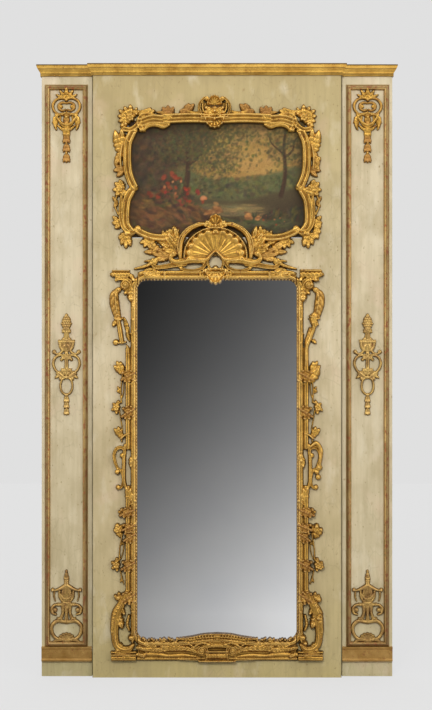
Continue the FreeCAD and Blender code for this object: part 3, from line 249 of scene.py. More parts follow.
# ---- materials ---------------------------------------------------------------------------------------
def aged_paint(name, stops, streak):
    """Distemper brushed on pine and rubbed for two centuries: chalky, streaked down the grain, crazed, its
    colour set by height, darker low down and on the centre panel near the top too, with a dark line in the
    seams that is partly dirt and partly painted shadow, stray gold beside the mouldings and chips to the
    ground coat. It gives a dry, cloudy greige. The boards' backs are bare."""
    made, tree = material(name)
    height = add(tree, MATH, along(tree, "Z"), 1 / CAD_BOX[1][2], operation="MULTIPLY")
    drift = add(tree, MATH, grain(tree, 380, 2.0), 0.24, height, operation="MULTIPLY_ADD")
    # the colour by height: darker low down and, with the centre panel's stops, near the top too
    colour = add(tree, RAMP, add(tree, MATH, drift, 0.12, operation="SUBTRACT"), stops=stops)
    streaks = grain(tree, 14, 4.0, stretch=(1, 1, 16))
    colour = stain(tree, colour, streak, 0.26, streaks, 0.42, 0.75)
    colour = stain(tree, colour, "A08F66", 0.40, grain(tree, 95, 4.0, stretch=(1, 1, 1.6), shift=3.0),
                   0.58, 0.36)
    colour = stain(tree, colour, "E0D5BA", 0.42, grain(tree, 60, 5.0, stretch=(1, 1, 2.2), shift=9.0),
                   0.55, 0.74)
    colour = stain(tree, colour, "D9B9A0", 0.20, grain(tree, 150, 3.0, shift=6.0), 0.56, 0.68)
    colour = stain(tree, colour, "6E6142", 0.16, cracks(tree, 26, stretch=(1, 1, 2.4)), 0.05, 0.0)
    chips = grain(tree, 7, 2.0, stretch=(1, 1, 1.8), shift=2.0)
    colour = stain(tree, colour, "8A7448", 0.7, chips, 0.69, 0.73)
    colour = stain(tree, colour, "8C6B3C", 0.5, grain(tree, 30, 6.0, stretch=(1, 1, 1.5), shift=7.0),
                   0.68, 0.74)
    aside = add(tree, MATH, along(tree, "X"), operation="ABSOLUTE")
    # a dark line down the seams between centre panel and pilasters: partly dirt in the joint, partly painted
    # shadow of the gap
    colour = stain(tree, colour, "4A4628", 0.75, away(tree, aside, SEAM_X), 2.8 * MM, 1.4 * MM)
    strayed = across_moulding(tree, *[[half + way * STRAY for half in halves]
                                      for way, halves in zip((-1, 1), MOULDING)])
    strayed = add(tree, RAMP, strayed, stops=[(0.0, 0.0), (0.04, 1.0), (0.96, 1.0), (1.0, 0.0)])
    colour = stain(tree, colour, "8A6E3C", 0.80, strayed, 0.0, 1.0)
    behind = add(tree, "ShaderNodeSeparateXYZ", add(tree, "ShaderNodeNewGeometry", out="Normal"), out="Y")
    colour = stain(tree, colour, bare_pine(tree)[0], 1.0, behind, 0.4, 0.6)
    relief = add(tree, MATH, chips, -0.5, streaks, operation="MULTIPLY_ADD")
    dents = add(tree, "ShaderNodeBump", sockets={"Height": relief, "Distance": 0.4 * MM})
    surface(tree, Base_Color=colour, Roughness=0.72, Specular_IOR_Level=0.3, Normal=dents)
    return made


def gilding(name, bright, deep, wear, metal, size=34, bole="7A4020", shade_bands=None):
    """Water gilding: leaf over red bole and gesso, burnished on the high parts and rubbed through on edges.
    Painted light lies over it: a painted highlight on the proud parts of carving, and painted shade in its
    hollows and along its outlines (partly dirt), in bands across a cornice's or moulding's profile and over
    the lower half. It gives warm sharp highlights broken by dull red and dark lines."""
    made, tree = material(name)
    hollow, proud, matt = [add(tree, ATTRIBUTE, attribute_name=label, out="Fac")
                           for label in ("hollow", "proud", "matt")]
    tone = grain(tree, size, 4.0)
    colour = add(tree, RAMP, tone, stops=[(0.34, deep), (0.62, bright)])
    # painted highlight: a pale gold laid on the proud parts of the carving
    colour = stain(tree, colour, "EDCB80", 0.6, proud, 0.05, 0.9)
    rubbed = grain(tree, 11, 5.0, stretch=(1, 1, 1.4), shift=4.0)
    colour = stain(tree, colour, bole, 0.8, rubbed, wear, wear + 0.09)
    # painted shade: the gold darkens over the lower half, where the light falls off towards the floor
    colour = stain(tree, colour, "6A4416", 0.50, height_in(tree, 0.0, CAD_BOX[1][2]), 0.50, 0.0)
    colour = stain(tree, colour, "8E5A2C", 0.8, matt, 0.0, 1.0)
    # a cornice or moulding takes painted shade in bands across its profile, in place of the relief's hollows
    if shade_bands:
        mask, stops = shade_bands(tree)
        hollow = add(tree, RAMP, add(tree, MATH, grain(tree, 25), 0.10, mask, operation="MULTIPLY_ADD"),
                     stops=stops)
    # painted shade, partly dirt in the hollows: from the relief's hollows and outlines, or from a profile's
    # bands
    colour = stain(tree, colour, "3A250C", 0.90, hollow, 0.05, 0.95)
    dull = add(tree, MATH, add(tree, RAMP, rubbed, stops=[(wear, 0.0), (wear + 0.09, 0.7)]),
               add(tree, MATH, hollow, matt, operation="MAXIMUM"), operation="MAXIMUM", use_clamp=True)
    gloss = add(tree, MATH, dull, 0.30, add(tree, MATH, tone, 0.20, 0.15, operation="MULTIPLY_ADD"),
                operation="MULTIPLY_ADD")
    shine = add(tree, MATH, dull, -0.5, metal, operation="MULTIPLY_ADD")
    skin = add(tree, MATH, grain(tree, 9, 2.0), 1.4, grain(tree, 3.2, 3.0), operation="MULTIPLY_ADD")
    dents = add(tree, "ShaderNodeBump", sockets={"Height": skin, "Distance": 0.28 * MM})
    surface(tree, Base_Color=colour, Metallic=shine, Roughness=gloss, Normal=dents)
    return made


def sawn_pine(name):
    """Unfinished softwood at the back: long straight grain, saw marks across it, browned by air and dust."""
    made, tree = material(name)
    colour, rings = bare_pine(tree)
    place = add(tree, "ShaderNodeTexCoord", out="Object")
    saw = add(tree, "ShaderNodeTexWave", place, sockets={"Scale": 55.0, "Distortion": 1.5, "Detail": 1.0},
              bands_direction="Z", out=1)
    relief = add(tree, MATH, saw, 0.35, rings, operation="MULTIPLY_ADD")
    dents = add(tree, "ShaderNodeBump", sockets={"Height": relief, "Distance": 0.6 * MM})
    surface(tree, Base_Color=colour, Roughness=0.85, Specular_IOR_Level=0.25, Normal=dents)
    return made


def silvered_plate(name):
    """Silvered plate glass: an almost perfect mirror, a little grey, with a faint haze in patches."""
    made, tree = material(name)
    haze = add(tree, RAMP, grain(tree, 60, 5.0), stops=[(0.60, 0.015), (0.80, 0.05)])
    colour = add(tree, RAMP, grain(tree, 240, 2.0), stops=[(0.3, "EDEEF0"), (0.7, "F4F4F4")])
    surface(tree, Base_Color=colour, Metallic=1.0, Roughness=haze)
    return made


def oiled_iron(name):
    """Hammered iron, blackened and lightly rusted: dark, broken highlights."""
    made, tree = material(name)
    colour = stain(tree, "33302D", "6B4427", 0.8, grain(tree, 8, 4.0), 0.48, 0.66)
    dents = add(tree, "ShaderNodeBump", sockets={"Height": grain(tree, 6, 2.0), "Distance": 0.6 * MM})
    surface(tree, Base_Color=colour, Metallic=0.8, Roughness=0.55, Normal=dents)
    return made


def canvas_cloth(name, painted):
    """Oil paint on linen under old varnish: brush ridges over a fine weave, netted with age cracks. The
    bare side is browned linen, dry and dusty."""
    made, tree = material(name)
    colour = add(tree, RAMP, grain(tree, 5, 3.0, stretch=(5, 1, 1)),
                 stops=[(0.35, "7E6B4A"), (0.65, "A3906A")])
    if painted:
        paint = add(tree, ATTRIBUTE, attribute_name="paint", out="Color")
        face = add(tree, ATTRIBUTE, attribute_name="painted", out="Fac")
        paint = stain(tree, paint, "2A2012", 0.4, cracks(tree, 9), 0.045, 0.0)
        colour = add(tree, MIX, sockets={0: face, 6: colour, 7: paint}, **COLOURS)
    place = add(tree, "ShaderNodeTexCoord", out="Object")
    across, up = [add(tree, "ShaderNodeTexWave", place, sockets={"Scale": 160.0, "Distortion": 0.6},
                      bands_direction=axis, out=1) for axis in "XZ"]
    weave = add(tree, MATH, across, up, operation="ADD")
    relief = add(tree, MATH, grain(tree, 7, 3.0), 2.5, weave, operation="MULTIPLY_ADD")
    dents = add(tree, "ShaderNodeBump", sockets={"Height": relief, "Distance": 0.3 * MM})
    surface(tree, Base_Color=colour, Roughness=0.5, Specular_IOR_Level=0.3, Coat_Weight=0.1,
            Coat_Roughness=0.3, Normal=dents)
    return made


def coat(name, finish):
    """Gives a CAD node its finish."""
    slots = frame["nodes"][name].data.materials
    slots.clear()
    slots.append(finish)


# ---- carving ---------------------------------------------------------------------------------------
def smooth_line(points, gap=1.4):
    """Points close together along a smooth line through the given ones, and their place among them."""
    p = np.array(points, float)
    ends = np.vstack([2 * p[0] - p[1], p, 2 * p[-1] - p[-2]])
    line, marks = [], []
    for i in range(len(p) - 1):
        a, b, c, d = ends[i:i + 4]
        count = max(2, int(np.hypot(*(c - b)) / gap))
        t = np.arange(count)[:, None] / count
        line.append(0.5 * (2 * b + (c - a) * t + (2 * a - 5 * b + 4 * c - d) * t ** 2
                           + (3 * b - a - 3 * c + d) * t ** 3))
        marks.append(i + t[:, 0])
    return np.vstack(line + [p[-1:]]), np.concatenate(marks + [[len(p) - 1]])


def step_up(low, high, value):
    """0 below low, 1 above high and smooth between."""
    t = np.clip((value - low) / (high - low), 0, 1)
    return t * t * (3 - 2 * t)


def blurred(values, times):
    """Values evened out with their neighbours."""
    for _ in range(times):
        for axis in (0, 1):
            values = (np.roll(values, 1, axis) + np.roll(values, -1, axis) + 2 * values) / 4
    return values


class Relief:
    """Carving as a height over a flat ground, drawn form by form in millimetres of x and z."""

    def __init__(self, low, high, step):
        count = [int(round((high[i] - low[i]) / step)) + 1 for i in (0, 1)]
        self.low, self.step = low, step
        self.x, self.z = np.meshgrid(low[0] + step * np.arange(count[0]),
                                     low[1] + step * np.arange(count[1]), indexing="ij")
        self.edge = np.full(self.x.shape, BARE)
        self.rise = np.zeros(self.x.shape)
        self.matt = np.zeros(self.x.shape)

    def near(self, points, reach):
        """The window of the grid within reach of the points."""
        low, high = np.min(points, 0) - reach, np.max(points, 0) + reach
        i0, j0 = [max(int((low[k] - self.low[k]) / self.step), 0) for k in (0, 1)]
        i1, j1 = [max(int((high[k] - self.low[k]) / self.step) + 2, 1) for k in (0, 1)]
        return slice(i0, i1), slice(j0, j1)

    def lay(self, where, edge, rise, matt=0.0):
        """Lays a form over what is there: the higher one shows."""
        seen = (edge > 0) & (rise > self.rise[where])
        self.rise[where] = np.where(seen, rise, self.rise[where])
        self.matt[where] = np.where(seen, matt, self.matt[where])
        self.edge[where] = np.maximum(self.edge[where], edge)

    def clear(self, low, high):
        """Takes away what was drawn in a box."""
        where = self.near([low, high], 0)
        self.edge[where], self.rise[where], self.matt[where] = BARE, 0, 0

    def mirror(self):
        """Joins the carving with its own reflection across the middle of the grid."""
        seen = self.rise[::-1] > self.rise
        for name in ("matt", "rise"):
            own = getattr(self, name)
            setattr(self, name, np.where(seen, own[::-1], own))
        self.edge = np.maximum(self.edge, self.edge[::-1])

    def polyline(self, points, reach):
        """Grid points near a line: the window, their place among the line's points, their run along it and
        their gap to it in millimetres, and the line's length."""
        line, marks = smooth_line(points)
        where = self.near(line, reach)
        x, z = self.x[where], self.z[where]
        flat = (x.reshape(-1, 1) - line[:, 0]) ** 2 + (z.reshape(-1, 1) - line[:, 1]) ** 2
        nearest = flat.argmin(1)
        way = np.gradient(line, axis=0)
        way /= np.hypot(way[:, 0], way[:, 1])[:, None] + 1e-9
        off_x, off_z = x.ravel() - line[nearest, 0], z.ravel() - line[nearest, 1]
        side = way[nearest, 0] * off_z - way[nearest, 1] * off_x
        gap = np.sqrt(flat.min(1))
        inner = (nearest > 0) & (nearest < len(line) - 1)
        gap = np.where(inner, np.minimum(gap, np.abs(side) + 0.05), gap)
        runs = np.concatenate([[0], np.cumsum(np.hypot(*np.diff(line, axis=0).T))])
        mark, run, gap = [v.reshape(x.shape) for v in (marks[nearest], runs[nearest], gap)]
        return where, mark, run, gap, runs[-1]


def spread(value, count):
    """One value for each point of a line, from a list of them or from one for all."""
    return list(value) if isinstance(value, (list, tuple)) else [value] * count


# A band's sections: u goes from 0 at its middle to 1 at its edge, and run and half are how far along the
# band a point lies and half the band's width there, in millimetres.
def round_cut(u, run, half):
    """A plain round back."""
    return np.sqrt(1 - u ** 2)


def scroll_cut(u, run, half):
    """A hollow channel between two rims."""
    return np.sqrt(1 - u ** 6) * (0.52 + 0.48 * np.exp(-((u - 0.70) / 0.2) ** 2))


def leafy_cut(u, run, half):
    """Leaf lobes that slant forward from a midrib."""
    groove = 1 - np.abs(np.sin(math.pi * (run / (half * 1.5) - 0.55 * u)))
    return np.sqrt(1 - u ** 2) * (1 - 0.5 * groove ** 2 * u ** 0.35) - 0.22 * np.exp(-(u / 0.13) ** 2)


def reeded_cut(u, run, half):
    """A round back with shallow reeds along it."""
    return np.sqrt(1 - u ** 2) * (0.74 + 0.26 * np.abs(np.cos(1.5 * math.pi * u)) ** 0.6)


def twist_cut(u, run, half):
    """Slanting ridges, as on foliage wrapped round a rod."""
    return np.sqrt(1 - u ** 2) * (0.68 + 0.32 * np.abs(np.sin(math.pi * (run / (half * 1.1) + 0.5 * u))))


def flat_cut(u, run, half):
    """A flat back with eased edges."""
    return 1 - 0.35 * u ** 4


def raised(rise, form, edge=EDGE):
    """A form's height, when its edge stands at a share of it."""
    return rise * (edge + (1 - edge) * form)


def inset(x, z, low, high):
    """How far a point is inside a box."""
    return np.minimum.reduce([x - low[0], high[0] - x, z - low[1], high[1] - z])


def strip(relief, points, width, rise, cut=round_cut, matt=0.0, edge=EDGE):
    """A carved band along a smooth line."""
    widths, rises, knots = spread(width, len(points)), spread(rise, len(points)), np.arange(len(points))
    where, mark, run, gap, _ = relief.polyline(points, max(widths) / 2 + 3)
    half = np.interp(mark, knots, widths) / 2
    top = np.interp(mark, knots, rises)
    u = np.clip(gap / half, 0, 1)
    relief.lay(where, half - gap, raised(top, np.clip(cut(u, run, half), 0, 1.1), edge), matt)


def leaf(relief, base, tip, width, rise, lobes=3, curl=0.3, matt=0.0):
    """An acanthus leaf with toothed sides, a midrib and a tip that turns forward."""
    base, tip = np.array(base, float), np.array(tip, float)
    where, _, run, gap, total = relief.polyline([base, base + (tip - base) / 2, tip], width / 2 + 3)
    s = np.clip(run / total, 0, 1)
    half = width / 2 * np.maximum(np.sin(math.pi * s ** 0.85) ** 0.65, 0.45 * (1 - s * 2.2))
    tooth = np.abs(np.sin(math.pi * (lobes * s - 0.32 * np.clip(gap / (width / 2), 0, 1) + 0.12)))
    half = half * (1 - 0.26 * (1 - tooth ** 0.8) * (1 - step_up(0.45, 0.85, s)))
    u = np.clip(gap / np.maximum(half, 0.1), 0, 1)
    form = (1 - u ** 2) ** 0.7 * (1 - 0.5 * (1 - tooth) ** 2 * u ** 0.5 * (1 - step_up(0.5, 0.9, s)))
    form = form - 0.26 * np.exp(-(gap / (0.06 * width)) ** 2)
    swell = 0.62 + 0.24 * np.sin(math.pi * s) + curl * np.exp(-((s - 0.8) / 0.14) ** 2)
    relief.lay(where, half - gap, raised(rise, np.clip(form * swell, 0, 1.1), EDGE * 0.8), matt)


def polar(relief, centre, reach):
    """Grid points round a centre: the window, how far off they are and which way."""
    centre = np.array([centre], float)
    where = relief.near(centre, reach + 3)
    x, z = relief.x[where] - centre[0, 0], relief.z[where] - centre[0, 1]
    return where, np.hypot(x, z), np.arctan2(z, x)


def ball(relief, centre, radius, rise):
    """A berry."""
    where, far, _ = polar(relief, centre, radius)
    u = np.clip(far / radius, 0, 1)
    relief.lay(where, radius - far, raised(rise, np.sqrt(1 - u ** 2)))


def flower(relief, centre, radius, rise, petals=5):
    """An open rosette: cupped petals round a boss."""
    where, far, angle = polar(relief, centre, radius)
    petal = np.abs(np.cos(petals * (angle - 0.3) / 2))
    reach = radius * (0.72 + 0.28 * petal ** 0.6)
    u = np.clip(far / reach, 0, 1)
    form = (0.45 + 0.5 * np.sin(math.pi * u ** 1.3) * (0.45 + 0.55 * petal ** 0.5)) * np.sqrt(1 - u ** 8)
    boss = np.clip(1 - (far / (0.3 * radius)) ** 2, 0, 1) ** 0.5
    relief.lay(where, reach - far, raised(rise, np.maximum(form, boss), EDGE * 0.7))


def volute(relief, centre, radius, rise, turn=0.0, hand=1):
    """The rolled end of a scroll: a rim that winds in to an eye, 1.9 times closer at each turn, and climbs
    on the way."""
    where, far, angle = polar(relief, centre, radius)
    wound = np.log(radius / np.maximum(far, 0.4)) / math.log(1.9)
    phase = (wound - hand * (angle - turn) / (2 * math.pi)) % 1
    wall = 0.50 + 0.50 * np.abs(np.sin(math.pi * phase)) ** 0.7
    climb = 0.72 + 0.28 * (1 - far / radius)
    eye = np.clip(1 - (far / (0.26 * radius)) ** 2, 0, 1) ** 0.5
    form = np.maximum(wall * climb * np.sqrt(np.clip(1 - (far / radius) ** 8, 0, 1)), eye)
    relief.lay(where, radius - far, raised(rise, form, EDGE * 0.6))


def curl(relief, points, width, rise, end, eye, hand=1, cut=scroll_cut):
    """A scroll: a band that ends in a volute with the radius of its eye."""
    strip(relief, points, width, rise, cut)
    volute(relief, end, eye, rise[-1] * 1.12, hand=hand)


def shell(relief, hinge, across, up, ribs, rise, low=0.0, rim=0.86, cut=0.45):
    """A fan of ribs from a hinge out to a scalloped rim that turns forward."""
    hinge = np.array([hinge], float)
    where, size = relief.near(hinge, max(across, abs(up)) + 3), min(across, abs(up))
    x, z = relief.x[where] - hinge[0, 0], relief.z[where] - hinge[0, 1]
    far = np.hypot(x / across, z / up)
    angle = np.arctan2(z / up, x / across)
    rib = np.abs(np.sin(angle * ribs))
    reach = 1 - 0.22 * cut * (1 - rib ** 0.7)
    u = np.clip(far / reach, 0, 1)
    lip = 0.34 * np.exp(-((u - rim) / 0.09) ** 2) * (0.75 + 0.25 * rib)
    form = ((0.30 + 0.42 * u) * (1 - cut * (1 - rib ** 0.8)) + lip) * np.sqrt(1 - u ** 14)
    edge = np.minimum((reach - far) * size, (angle + low) * far * size + 2)
    edge = np.minimum(edge, (math.pi + low - angle) * far * size + 2)
    edge = np.where((angle < -low) & (angle > low - math.pi), -1.0, edge)
    relief.lay(where, edge, raised(rise, np.clip(form, 0, 1.05), EDGE * 0.7))


def ledge(relief, low, high, rise, flutes=0, lean=0.0):
    """A short length of moulding: a fillet over a cushion, cut with gadroons."""
    where = relief.near([low, high], 3)
    x, z = relief.x[where], relief.z[where]
    t = (z - low[1]) / (high[1] - low[1])
    cushion = np.sqrt(np.clip(1 - ((t - 0.36) / 0.42) ** 2, 0, 1))
    if flutes:
        cut = np.abs(np.sin(math.pi * ((x - low[0]) / (high[0] - low[0]) * flutes + lean * t)))
        cushion = cushion * (0.62 + 0.38 * cut ** 0.6)
    fillet = step_up(0.74, 0.80, t)
    relief.lay(where, inset(x, z, low, high), raised(rise, np.maximum(cushion * 0.85, fillet), 0.45))


def plate(relief, low, high, rise):
    """A plain flat piece with eased edges."""
    where = relief.near([low, high], 3)
    edge = inset(relief.x[where], relief.z[where], low, high)
    relief.lay(where, edge, raised(rise, step_up(0, 4, edge), 0.7))


def hump(x):
    """How far the sight edge swells up over the middle of the foot rail."""
    return HUMP_RISE * 0.5 * (1 + np.cos(math.pi * np.clip(x / HUMP_HALF, -1, 1)))


def rounded_gap(x, z):
    """How far a point is outside the mirror's sight edge, which has round corners and a hump at the foot."""
    foot = SIGHT_Z + hump(x)
    middle, half = (SIGHT_TOP + foot) / 2, (SIGHT_TOP - foot) / 2
    over_x = np.abs(x) - (SIGHT_X - SIGHT_R)
    over_z = np.abs(z - middle) - (half - SIGHT_R)
    outside = np.hypot(np.maximum(over_x, 0), np.maximum(over_z, 0))
    return outside + np.minimum(np.maximum(over_x, over_z), 0) - SIGHT_R


BEAD, INNER_ROLL, QUIRK, OUTER_ROLL = 7, 19, 3, 19      # widths across a mirror rail, from its sight edge


def rolls(gap, outer):
    """The rail's section outward from the sight edge: a fillet, a roll, a quirk and a second roll."""
    inner_roll, outer_roll = [np.sqrt(np.clip(1 - ((gap - start) / (width / 2) - 1) ** 2, 0, 1))
                              for start, width in ((BEAD, INNER_ROLL),
                                                   (BEAD + INNER_ROLL + QUIRK, OUTER_ROLL))]
    return 12 + np.maximum(10 * inner_roll, 9 * outer_roll * outer) - np.where(gap < BEAD, 4.0, 0)


def relief_shading(relief, rise):
    """Painted shade and painted highlight for a relief, each from 0 to 1: the shade is deepest in the
    hollows (partly dirt), along each form's outline and over a dark fill; the highlight is strongest where a
    point stands proud of what is round it.
    """
    cover = (relief.edge > 0).astype(float)
    # the mean height some 4 mm and 8 mm round each point
    near, wide = [blurred(relief.rise * cover, n) / np.maximum(blurred(cover, n), 0.02) for n in (10, 50)]
    # painted shade in the hollows, partly dirt, and a painted highlight where a point stands proud
    deep = np.clip((near - rise) / 4.5, 0, 1) + 0.6 * np.clip((wide - rise) / 11.0, 0, 1)
    proud = np.clip((rise - near) / 4.0, 0, 1) * 0.6 + np.clip((rise - wide) / 9.0, 0, 1) * 0.5
    # painted shade along each form's outline, where it meets the ground
    rim = 0.08 * (1 - step_up(0.5, 3.5, relief.edge))
    # a negative matt marks a dark fill, which is painted shadow
    return np.clip(deep * 0.72 + rim - np.minimum(relief.matt, 0), 0, 1), proud


def cut_out(relief):
    """Triangles over the carved part of the grid, cut off along its outline. It gives the triangles, the
    outline's segments, the grid points inside and outside of each outline point, and how far out it lies."""
    rows, columns = relief.x.shape
    grid = np.arange(rows * columns).reshape(rows, columns)
    a, b, c, d = grid[:-1, :-1], grid[1:, :-1], grid[1:, 1:], grid[:-1, 1:]
    corners = np.vstack([np.stack([p.ravel() for p in t], 1) for t in ((a, b, c), (a, c, d))])
    level = relief.edge.ravel()
    level = np.where(np.abs(level) < 0.02, 0.02, level)
    kept = level[corners] > 0
    count = kept.sum(1)
    lone, pair = [np.stack([t[np.arange(len(t)), (odd + k) % 3] for k in range(3)], 1)
                  for t, odd in ((corners[count == 1], kept[count == 1].argmax(1)),
                                 (corners[count == 2], (~kept[count == 2]).argmax(1)))]
    cuts = np.sort(np.vstack([lone[:, [0, 1]], lone[:, [0, 2]], pair[:, [1, 0]], pair[:, [2, 0]]]), 1)
    unique, index = np.unique(cuts, axis=0, return_inverse=True)
    ends = np.cumsum([len(lone), len(lone), len(pair)])
    first, second, third, fourth = np.split(index.ravel() + rows * columns, ends)
    faces = np.vstack([corners[count == 3], np.stack([lone[:, 0], first, second], 1),
                       np.stack([pair[:, 1], pair[:, 2], fourth], 1),
                       np.stack([pair[:, 1], fourth, third], 1)])
    outline = np.vstack([np.stack([first, second], 1), np.stack([fourth, third], 1)])
    inside = np.where(level[unique[:, 0]] > 0, unique[:, 0], unique[:, 1])
    outside = np.where(level[unique[:, 0]] > 0, unique[:, 1], unique[:, 0])
    share = np.clip(level[inside] / (level[inside] - level[outside]), 0.02, 0.98)
    return faces, outline, inside, outside, share


def to_mesh(relief, name, ground, flip=False, seed=1):
    """A closed mesh from a relief: carved front, upright sides and a flat back on the ground plane."""
    rng = np.random.default_rng(seed)
    waves = rng.uniform(-0.09, 0.09, (5, 3)) + [0, 0, 2]
    uneven = 0.10 * sum(np.sin(relief.x * a + relief.z * b + c) for a, b, c in waves)
    rise = np.where(relief.edge > 0, np.maximum(blurred(relief.rise, 1), relief.rise * 0.8), relief.rise)
    rise = np.maximum(rise + uneven, 1.0)
    hollow, proud = relief_shading(relief, rise)
    matt = blurred(np.maximum(relief.matt, 0), 2)
    faces, outline, inside, outside, share = cut_out(relief)

    x, z = [np.concatenate([v.ravel(), v.ravel()[inside] * (1 - share) + v.ravel()[outside] * share])
            for v in (relief.x, relief.z)]
    rise, hollow, proud, matt = [np.concatenate([v.ravel(), v.ravel()[inside] * eased])
                                 for v, eased in ((rise, 0.86), (hollow, 1), (proud, 1), (matt, 1))]
    used, flat = np.unique(faces, return_inverse=True)
    faces = flat.reshape(faces.shape)
    new_id = np.zeros(len(x), int)
    new_id[used] = np.arange(len(used))
    outline = new_id[outline]
    x, z, rise, hollow, proud, matt = [v[used] for v in (x, z, rise, hollow, proud, matt)]
    total = len(used)
    front, back = [np.stack([-x if flip else x, y, z], 1) for y in (ground - rise, np.full(total, ground))]
    triangles = np.vstack([faces, faces[:, ::-1] + total])
    walls = np.stack([outline[:, 1], outline[:, 0], outline[:, 0] + total, outline[:, 1] + total], 1)
    if flip:
        triangles, walls = triangles[:, ::-1], walls[:, ::-1]
    mesh = bpy.data.meshes.new(name)
    mesh.from_pydata((np.vstack([front, back]) * MM).tolist(), [], triangles.tolist() + walls.tolist())
    for label, values in (("hollow", hollow), ("proud", proud), ("matt", matt)):
        layer = mesh.attributes.new(label, "FLOAT", "POINT")
        layer.data.foreach_set("value", np.tile(values, 2).astype(np.float32))
    mesh.polygons.foreach_set("use_smooth", np.arange(len(mesh.polygons)) < len(faces))
    mesh.update()
    return stand(name, mesh)


def fix(made, finish, slot, *nodes):
    """Hangs a finished piece on the body with its material, and hides the nodes it stands for. The slot is
    not used.
    """
    made.data.materials.clear()
    made.data.materials.append(finish)
    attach(made, BODY)
    if nodes:
        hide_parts(*nodes)


# ---- what is carved: places in millimetres across x and up z, the left side given ------------------
def wrap(r, top, foot, outer, inner, rise=32):
    """A knot of foliage wound round the rail: leaves that spring both ways from a slanting band."""
    x, z, wide, tall = (outer + inner) / 2, (top + foot) / 2, inner - outer, top - foot
    strip(r, [(outer + 2, z - tall * 0.30), (x, z), (inner - 2, z + tall * 0.28)], [14, 20, 13], rise * 0.94,
          twist_cut, matt=0.7)
    for across, up, width, high in ((-0.50, 0.42, 0.42, 0.96), (-0.16, 0.58, 0.40, 1.0),
                                    (0.28, 0.60, 0.36, 0.94), (0.50, -0.34, 0.40, 0.98),
                                    (0.12, -0.60, 0.42, 1.0), (-0.30, -0.56, 0.36, 0.95)):
        leaf(r, (x + across * 2, z + up * 4), (x + across * wide, z + up * tall), width * wide, rise * high,
             2, curl=0.5, matt=0.35)
    for across, up in ((-0.10, 0.02), (0.18, 0.16), (-0.30, -0.12)):
        ball(r, (x + across * wide, z + up * tall), 5, rise * 1.03)


def sprig(r, base, tips, width, rise, lobes=3, matt=0.0):
    """Leaves that spring from one place."""
    for tip in tips:
        leaf(r, base, tip, width, rise, lobes, matt=matt)


def carve_rail(r, low, high, cross=1.0):
    """The rails' rolls where they fall inside a box, drawn closer by cross on a narrower rail. The outer
    roll of a side rail stops where it leaves as a scroll: at both ends and half way up."""
    gap = rounded_gap(r.x, r.z)
    outer = step_up(326, 342, r.z) * (1 - step_up(1312, 1328, r.z))
    outer = outer * (1 - step_up(764, 776, r.z) * (1 - step_up(906, 918, r.z)))
    outer = np.where(np.abs(r.x) < SIGHT_X - 8, 1.0, outer)
    widest = np.where(outer > 0.5, RAIL_X - SIGHT_X, BEAD + INNER_ROLL + QUIRK - 1.5)
    widest = np.where(np.abs(r.x) < SIGHT_X, np.where(r.z > 900, RAIL_TOP - SIGHT_TOP, 200.0), widest)
    edge = np.minimum.reduce([gap, widest - gap, inset(r.x, r.z, low, high)])
    r.lay(np.s_[:, :], edge, rolls(gap * cross, outer))


def carve_side(r):
    """A side rail of the mirror with its small collars."""
    carve_rail(r, (-RAIL_X, RAIL_FOOT), (-SIGHT_X, RAIL_TOP))
    for z in (1380, 1180, 868, 700, 610, 470, 300):
        strip(r, [(-345, z - 6), (-334, z + 2), (-325, z + 8)], [8, 12, 8], 25, twist_cut)
    for foot, tip, width, rise in (((-336, 1395), (-334, 1440), 20, 26),
                                   ((-336, 1368), (-335, 1330), 18, 25), ((-337, 300), (-335, 252), 24, 26),
                                   ((-334, 200), (-336, 156), 26, 26)):
        leaf(r, foot, tip, width, rise)
    for z in (1500, 1492, 1484):
        ball(r, (-335, z), 6, 26)


def carve_top(r):
    """The mirror's top rail: it runs plain between two knots and turns down over the round corners."""
    carve_rail(r, (-SIGHT_X, 1540), (SIGHT_X, RAIL_TOP), cross=48 / 40)
    plate(r, (-216, 1592), (-203, 1626), 26)
    plate(r, (-44, 1590), (-34, 1624), 26)
    leaf(r, (-222, 1606), (-302, 1604), 24, 25, 4)
    leaf(r, (-228, 1618), (-262, 1634), 18, 25, 2)
    leaf(r, (-306, 1590), (-282, 1616), 20, 26, 2)


def carve_foot(r):
    """The mirror's foot rail with its hump, base fillet and rounded lower edge."""
    carve_rail(r, (-SIGHT_X, RAIL_FOOT), (SIGHT_X, SIGHT_Z + 40))
    strip(r, [(-318, 78), (0, 78)], 15, 17)
    for i in range(9):
        x = -300 + 34 * i
        leaf(r, (x + 16, 150 - 3 * math.sin(i)), (x, 160 + 2 * math.cos(2 * i)), 12, 22, 2)


